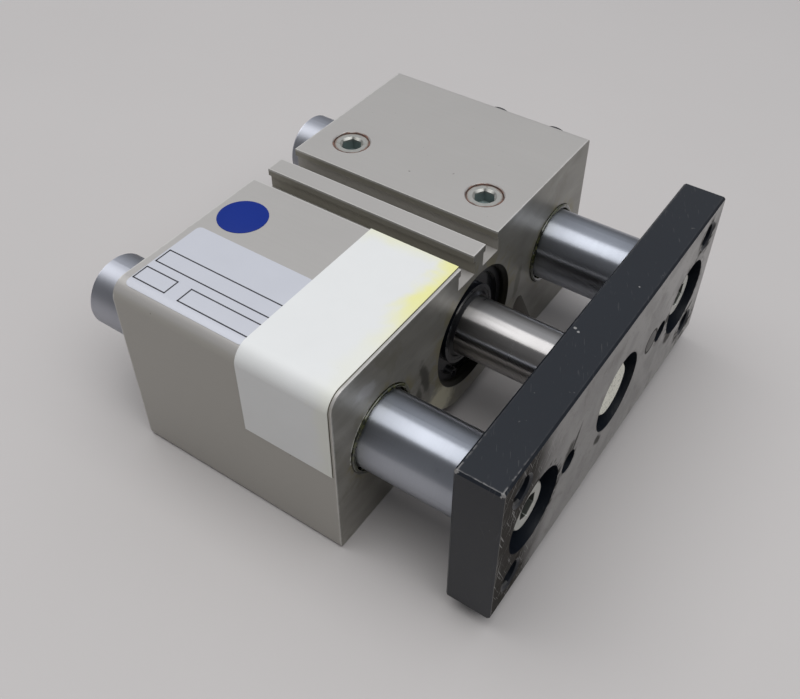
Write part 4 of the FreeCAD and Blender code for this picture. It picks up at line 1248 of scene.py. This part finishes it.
@dataclass
class LumpyRing:
    """Uneven ring of paste squeezed out round a bore or a plug."""

    name: str
    centre: Point
    radius: float
    section: float
    along_x: bool = True
    reach: float = 0.35
    seed: float = 0.0
    uneven: float = 1.6
    slot: str = "seal_rubber"
    body: str = HOUSING

    def build(self, look: bpy.types.Material) -> bpy.types.Object:
        """Spin the section and make it uneven.

        Args:
            look: Material of the paste.

        Returns:
            The new piece.
        """
        mesh = bmesh.new()
        bmesh.ops.create_circle(mesh, segments=10, radius=self.section)
        bmesh.ops.rotate(mesh, cent=(0, 0, 0), matrix=Matrix.Rotation(math.pi / 2, 3, "X"), verts=mesh.verts)
        bmesh.ops.translate(mesh, vec=(self.radius, 0, 0), verts=mesh.verts)
        bmesh.ops.spin(mesh, geom=mesh.verts[:] + mesh.edges[:], cent=(0, 0, 0), axis=(0, 0, 1),
                       angle=2 * math.pi, steps=120, use_merge=True)
        bmesh.ops.remove_doubles(mesh, verts=mesh.verts, dist=1e-3)
        for vertex in mesh.verts:
            turn = math.atan2(vertex.co.y, vertex.co.x)
            middle = Vector((math.cos(turn), math.sin(turn), 0.0)) * self.radius
            arm = vertex.co - middle
            wave = noise.noise(Vector((math.cos(turn) * 2.3, math.sin(turn) * 2.3, self.seed)))
            ripple = noise.noise(Vector((vertex.co.x * 0.9, vertex.co.y * 0.9, self.seed + 5.0)))
            vertex.co = middle + arm * max(0.15, 1.0 + self.uneven * (wave + 0.3 * ripple))
            vertex.co += Vector((math.cos(turn), math.sin(turn), 0.0)) * self.reach * wave
        if self.along_x:
            lay_along_x(mesh, *self.centre)
        else:
            bmesh.ops.translate(mesh, vec=self.centre, verts=mesh.verts)
        return finish_piece(self.name, mesh, self.body, self.slot, look, 60.0)


@dataclass
class ThreadRidge:
    """Helical ridge on the wall of a threaded hole."""

    name: str
    seats: Sequence[Point]
    radius: float
    pitch: float
    turns: int
    body: str
    slot: str
    downwards: bool = False
    facets: int = 28

    def build(self, look: bpy.types.Material) -> bpy.types.Object:
        """Spin the ridge's section along each hole.

        Args:
            look: Material of the threads.

        Returns:
            The new piece.
        """
        mesh = bmesh.new()
        for seat in self.seats:
            single = bmesh.new()
            high = self.radius + 0.02
            low = self.radius - 0.28 * self.pitch
            points = [(high, -0.42 * self.pitch), (low, -0.06 * self.pitch), (low, 0.06 * self.pitch),
                      (high, 0.42 * self.pitch)]
            corners = [single.verts.new((radius, 0, level)) for radius, level in points]
            edges = [single.edges.new(pair) for pair in zip(corners, corners[1:] + corners[:1])]
            steps = self.facets * self.turns
            bmesh.ops.spin(single, geom=corners + edges, cent=(0, 0, 0), axis=(0, 0, 1),
                           dvec=(0, 0, self.pitch / self.facets), angle=2 * math.pi * self.turns, steps=steps)
            bmesh.ops.holes_fill(single, edges=single.edges[:], sides=8)
            if self.downwards:
                bmesh.ops.translate(single, vec=seat, verts=single.verts)
            else:
                lay_along_x(single, *seat)
            bmesh.ops.recalc_face_normals(single, faces=single.faces)
            part = bpy.data.meshes.new("thread_part")
            single.to_mesh(part)
            single.free()
            mesh.from_mesh(part)
            bpy.data.meshes.remove(part)
        return finish_piece(self.name, mesh, self.body, self.slot, look)


@dataclass
class CapScrew:
    """Cylinder-head screw with a toothed rim and a hexagon socket with a drilled bottom."""

    name: str
    head: float = 13.0
    head_height: float = 7.7
    socket: float = 6.0
    socket_depth: float = 4.0
    shank: float = 8.0
    length: float = 16.0
    teeth: int = 40

    def build(self, along: float, across: float, up: float, look: bpy.types.Material) -> bpy.types.Object:
        """Grow the screw from its tip to the bottom of its socket.

        Args:
            along: X of the seat under its head.
            across: Y of its axis.
            up: Z of its axis.
            look: Material of the screw.

        Returns:
            The new piece.
        """
        radius = self.head / 2
        toothed = knurl(radius, 0.16, self.teeth)
        sections = [
            (plain(self.shank / 2 - 0.6), -self.length),
            (plain(self.shank / 2), 0.6 - self.length),
            (plain(self.shank / 2), 0.0),
            (plain(radius - 0.35), 0.0),
            (toothed, 0.35),
            (toothed, self.head_height - 1.6),
            (plain(radius - 0.2), self.head_height - 1.1),
            (plain(radius - 0.5), self.head_height - 0.3),
            (plain(radius - 0.85), self.head_height),
            (plain(self.socket / 2 + 0.5), self.head_height),
            (hexagon(self.socket), self.head_height - 0.15),
            (hexagon(self.socket), self.head_height - self.socket_depth),
            (plain(self.socket / 2 - 0.35), self.head_height - self.socket_depth),
            (plain(0.2), self.head_height - self.socket_depth - 0.9),
        ]
        mesh = grow_up(sections, 240)
        lay_along_x(mesh, along, across, up)
        return finish_piece(self.name, mesh, CARRIAGE, "zinc_plated", look, 30.0)


@dataclass
class PortPlug:
    """Threaded plug that sits just under the surface, with a countersunk hexagon socket."""

    name: str
    radius: float = 4.85
    sink: float = 0.35
    length: float = 6.5
    socket: float = 5.0
    socket_depth: float = 3.5
    countersink: float = 3.15

    def build(self, along: float, across: float, top: float, look: bpy.types.Material) -> bpy.types.Object:
        """Grow the plug from its foot to the bottom of its socket.

        Args:
            along: X of its axis.
            across: Y of its axis.
            top: Height of the surface that it sits under.
            look: Material of the plug.

        Returns:
            The new piece.
        """
        sections = [
            (plain(self.radius - 0.7), -self.length),
            (plain(self.radius), 0.7 - self.length),
            (plain(self.radius), -0.35),
            (plain(self.radius - 0.08), -0.15),
            (plain(self.radius - 0.3), 0.0),
            (plain(self.countersink), 0.0),
            (hexagon(self.socket), -0.5),
            (hexagon(self.socket), -self.socket_depth),
            (plain(self.socket / 2 - 0.3), -self.socket_depth),
            (plain(0.2), -self.socket_depth - 0.8),
        ]
        mesh = grow_up(sections, 144)
        bmesh.ops.translate(mesh, vec=(along, across, top - self.sink), verts=mesh.verts)
        return finish_piece(self.name, mesh, HOUSING, "zinc_plated", look, 30.0)


# ---------------------------------------------------------------------------------------------
# Sub-assemblies.


def dress(look: bpy.types.Material, nodes: Iterable[str]) -> None:
    """Give a material to CAD nodes that keep their shape.

    Args:
        look: The material.
        nodes: Names of the nodes.
    """
    for name in nodes:
        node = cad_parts[name]
        for slot in node.material_slots:
            slot.material = look
        log.info("%s: dressed in %s", name, look.name)


@dataclass
class Housing:
    """Slotted extrusion with its markings, plugs and base threads."""

    shape: HousingShape = field(default_factory=HousingShape)
    plug_across: float = 19.5
    port_setback: float = 10.4
    base_pitch: tuple[float, float] = (40.0, 92.0)

    def build(self) -> None:
        """Dress the housing and build what is fixed to its outside."""
        body = AnodisedBody("clear_anodised_body", (0.412, 0.396, 0.378), 0.40, 0.30, bump=0.12,
                            bump_height=0.02)
        dress(body.material(), ["housing"])
        Markings().build(self.shape)
        self.build_plugs()
        self.build_threads()

    def build_plugs(self) -> None:
        """Dress the plugs and squeeze sealant out round the top ones."""
        # The plug's socket darkens to a dark teal below its rim as painted shade.
        plug = SealedPlug("sealed_plug", (0.44, 0.435, 0.405), 0.40, 0.75, bump=0.15, deep_from=51.25,
                          deep_share=0.8, recess_shade_colour=(0.20, 0.26, 0.26), mottle=0.82)
        plug = plug.material()
        cap = Finish("moulded_black", (0.018, 0.018, 0.020), 0.42, bump=0.1)
        dress(cap.material(), ["side_port_plugs"])
        paste = Paste("red_sealant", (0.17, 0.085, 0.06), 0.5, second=(0.07, 0.04, 0.03), bump=0.3,
                      bump_height=0.1)
        look = paste.material()
        along = self.shape.front - self.port_setback
        for index, place in enumerate((along, -along)):
            centre = (place, self.plug_across, self.shape.top - 0.25)
            LumpyRing(f"sealant_{index + 1}", centre, 4.86, 0.17, False, 0.12, 3.0 * index).build(look)
            made = PortPlug(f"port_plug_{index + 1}").build(place, self.plug_across, self.shape.top, plug)
            if index == 0:
                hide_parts("top_port_plugs")

    def build_threads(self) -> None:
        """Cut the look of threads in the four base holes."""
        along, across = self.base_pitch[0] / 2, self.base_pitch[1] / 2
        seats = [(x, y, 1.2) for x in (-along, along) for y in (-across, across)]
        bare = PlatedSteel("cut_aluminium", (0.62, 0.61, 0.60), 0.35, 0.9)
        ridge = ThreadRidge("base_threads", seats, 2.5, 1.0, 9, HOUSING, "clear_anodised", True)
        ridge.build(bare.material())


@dataclass
class Barrel:
    """Gland, end cap and seals that close the barrel."""

    def build(self) -> None:
        """Dress the fittings of the barrel."""
        black = Finish("black_anodised", (0.008, 0.009, 0.012), 0.22, coat=0.3, bump=0.1)
        dress(black.material(), ["rod_gland"])
        cap = Finish("clear_anodised_cap", (0.58, 0.57, 0.55), 0.4, 0.55, bump=0.15)
        dress(cap.material(), ["end_cap", "piston"])
        rubber = Finish("oiled_rubber", (0.008, 0.008, 0.009), 0.32, coat=0.15, bump=0.15)
        dress(rubber.material(), ["gland_o_ring", "end_cap_o_ring", "rod_wiper", "rod_seal", "piston_seals"])
        spring = Finish("phosphated_spring", (0.016, 0.016, 0.018), 0.34, 0.2, bump=0.1)
        dress(spring.material(), ["gland_retaining_ring", "end_cap_retaining_ring"])
        bronze = Finish("sintered_bronze", (0.42, 0.30, 0.16), 0.5, 0.7, bump=0.3, bump_height=0.05)
        dress(bronze.material(), ["rod_bush"])


@dataclass
class Guides:
    """Bushes, wipers, snap rings and grease of the two guide bores."""

    across: float = GUIDE_OFFSET
    axis: float = AXIS_HEIGHT
    mouth: float = HOUSING_FRONT

    def build(self) -> None:
        """Dress the guide fittings and lay grease at the bore mouths."""
        bronze = Finish("guide_bronze", (0.42, 0.31, 0.17), 0.5, 0.7, bump=0.3, bump_height=0.05)
        rubber = Finish("greased_wiper", (0.020, 0.021, 0.012), 0.25, coat=0.3, bump=0.2)
        ends = [f"{end}_{side}" for end in ("front", "rear") for side in ("left", "right")]
        dress(bronze.material(), [f"guide_bush_{end}" for end in ends])
        dress(rubber.material(), [f"guide_wiper_{end}" for end in ends])
        wire = PlatedSteel("greasy_wire", (0.30, 0.29, 0.22), 0.3, 0.8, dirt=(0.12, 0.11, 0.03), cover=0.6)
        dress(wire.material(), ["guide_snap_rings"])
        grease = Paste("guide_grease", (0.052, 0.055, 0.019), 0.16, coat=0.7, second=(0.010, 0.012, 0.006),
                       bump=0.4, bump_height=0.15)
        look = grease.material()
        for index, (place, side) in enumerate(((1, -1), (1, 1), (-1, -1), (-1, 1))):
            name = f"grease_{'front' if place > 0 else 'rear'}_{'left' if side < 0 else 'right'}"
            centre = (place * (self.mouth + 0.1), side * self.across, self.axis)
            LumpyRing(name, centre, 10.95, 0.52, True, 0.1, 11.0 * index + 2.0, 0.45).build(look)


@dataclass
class Rods:
    """Guide rods, piston rod and piston."""

    guide: float = GUIDE_OFFSET

    def build(self) -> None:
        """Dress the rods and what rides on the piston rod inside the barrel."""
        for side, across in (("left", -self.guide), ("right", self.guide)):
            look = GroundRod(f"ground_rod_{side}", (0.50, 0.525, 0.58), 0.42, 1.0, streak=1.0, across=across,
                             bump=0.08, bump_height=0.008)
            dress(look.material(), [f"guide_rod_{side}"])
        bright = GroundRod("chromed_rod", (0.42, 0.407, 0.40), 0.30, 1.0, streak=1.0, ring=1.2,
                           film=(0.30, 0.28, 0.24), bump=0.03, bump_height=0.004)
        dress(bright.material(), ["piston_rod"])
        slide = Finish("slide_plastic", (0.45, 0.33, 0.14), 0.5, bump=0.1)
        dress(slide.material(), ["piston_wear_ring", "front_bumper", "rear_bumper"])
        ferrite = Finish("ferrite", (0.06, 0.06, 0.062), 0.55, 0.3, bump=0.3)
        dress(ferrite.material(), ["piston_magnet"])
        dress(PlatedSteel("inner_screw_zinc", (0.66, 0.66, 0.62), 0.3, 0.9).material(), ["piston_screw"])


@dataclass
class ToolingPlate:
    """Blackened plate with its screws and threads."""

    guide: float = GUIDE_OFFSET
    axis: float = AXIS_HEIGHT
    face: float = PLATE_FRONT
    seat: float = 61.6
    corner: tuple[float, float] = (48.25, 15.25)

    def build(self) -> None:
        """Dress the plate and build its screws and threads."""
        black = WornBlackening("worn_blackening", (0.007, 0.0095, 0.0145), 0.34, specular=0.32,
                               bump=0.15, bump_height=0.02)
        dress(black.material(), ["tooling_plate"])
        cream = PlatedSteel("dull_zinc", (0.84, 0.83, 0.73), 0.5, 0.25, cover=0.4, speckle=0.75,
                            mottle=0.85, bump=0.3)
        dress(cream.material(), ["rod_screw"])
        # The screw sockets darken below their rims as painted shade.
        zinc = PlatedSteel("bright_zinc", (0.56, 0.565, 0.525), 0.38, 0.8, cover=0.3, mottle=0.88,
                           deep_axis=0, deep_from=69.27, deep_run=0.3, deep_share=0.85,
                           recess_shade_colour=(0.05, 0.06, 0.05), bump=0.1)
        zinc = zinc.material()
        for side, place in (("left", -self.guide), ("right", self.guide)):
            screw = CapScrew(f"guide_screw_{side}").build(self.seat, place, self.axis, zinc)
            if side == "left":
                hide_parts("guide_rod_screws")
        across, up = self.corner
        seats = [(self.face - 9.6, y, self.axis + z) for y in (-across, across) for z in (-up, up)]
        dark = PlatedSteel("cut_steel", (0.10, 0.10, 0.10), 0.35, 0.8)
        ThreadRidge("corner_threads", seats, 3.4, 1.25, 7, CARRIAGE, "black_oxide").build(dark.material())


# ---------------------------------------------------------------------------------------------
# Floor, light and camera.


class Lamp(Enum):
    """Soft lamps: place, length along X, width along Y and power."""

    PANEL = ((0.15, -0.10, 0.90), 1.80, 0.72, 7.4)


@dataclass
class Studio:
    """Plain pale floor, soft light and the camera."""

    floor_colour: Colour = (0.50, 0.478, 0.466)
    sky: float = 0.8

    def build(self) -> None:
        """Build the floor, the sky, the lamps and the camera."""
        self.build_floor()
        self.build_sky()
        for lamp in Lamp:
            self.build_lamp(lamp)
        self.build_camera()
        bpy.context.scene.view_settings.view_transform = "Standard"

    def build_floor(self) -> None:
        """Build the floor, which isn't part of the object."""
        mesh = bmesh.new()
        bmesh.ops.create_grid(mesh, x_segments=1, y_segments=1, size=4.0)
        data = bpy.data.meshes.new("floor")
        mesh.to_mesh(data)
        mesh.free()
        data.materials.append(PaleFloor("pale_floor", self.floor_colour, 0.8, specular=0.1).material())
        floor = bpy.data.objects.new("floor", data)
        floor.location = (0.0, 0.0, -0.0002)
        bpy.context.scene.collection.objects.link(floor)
        floor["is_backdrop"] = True

    def build_sky(self) -> None:
        """Build the soft surround, which is darker by the horizon."""
        world = bpy.data.worlds.new("surround")
        world.use_nodes = True
        world.node_tree.nodes.clear()
        graph = Graph(world.node_tree)
        direction = graph.add("TexCoord").outputs["Generated"]
        height = graph.split(direction)[2]
        shade = graph.fade(height, 0.0, 0.95)
        colour = graph.blend(shade, (0.22, 0.225, 0.235), (1.05, 1.08, 1.14))
        ahead, aside, _ = graph.split(direction)
        dusk = graph.blend(graph.fade(ahead, 0.35, -0.35), (0.14, 0.141, 0.145), (0.42, 0.425, 0.44))
        colour = graph.blend(graph.fade(aside, -0.24, -0.50), colour, dusk)
        ground = graph.add("Background", {"Color": colour, "Strength": self.sky})
        sink = graph.add("OutputWorld")
        graph.feed(sink.inputs["Surface"], ground.outputs[0])
        bpy.context.scene.world = world

    def build_lamp(self, lamp: Lamp) -> None:
        """Hang one lamp so that it faces down.

        Args:
            lamp: Which lamp.
        """
        place, width, depth, power = lamp.value
        data = bpy.data.lights.new(lamp.name.lower(), "AREA")
        data.shape = "RECTANGLE"
        data.size, data.size_y, data.energy = width, depth, power
        holder = bpy.data.objects.new(lamp.name.lower(), data)
        holder.location = place
        bpy.context.scene.collection.objects.link(holder)

    def build_camera(self) -> None:
        """Set the camera above the near left corner, turned a little about its own axis."""
        back = Vector((0.3918, -0.5930, 0.7035))
        right = Vector((0.8343, 0.5513, 0.0))
        up = Vector((-0.3878, 0.5869, 0.7107))
        roll = math.radians(0.732)
        level = right * math.cos(roll) + up * math.sin(roll)
        upright = up * math.cos(roll) - right * math.sin(roll)
        data = bpy.data.cameras.new("camera")
        data.lens = 42.73
        data.shift_x, data.shift_y = -0.0178, -0.0156
        data.clip_start = 0.01
        camera = bpy.data.objects.new("camera", data)
        turn = Matrix((level, upright, back)).transposed()
        camera.matrix_world = Matrix.Translation((0.11402, -0.15285, 0.19448)) @ turn.to_4x4()
        bpy.context.scene.collection.objects.link(camera)
        bpy.context.scene.camera = camera


def write_sizes() -> None:
    """Gather the CAD box and the box of the finished looks as plain lists.
    """
    boxes = {"cad": CAD_BOX, "visual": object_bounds()}
    plain_boxes = {name: [list(corner) for corner in box] for name, box in boxes.items()}


def main() -> None:
    """Build the sub-assemblies in order, then the studio."""
    logging.basicConfig(level=logging.INFO, format="%(name)s: %(message)s")
    for part in (Housing(), Barrel(), Guides(), Rods(), ToolingPlate(), Studio()):
        part.build()
    write_sizes()


if __name__ == "__main__":
    main()
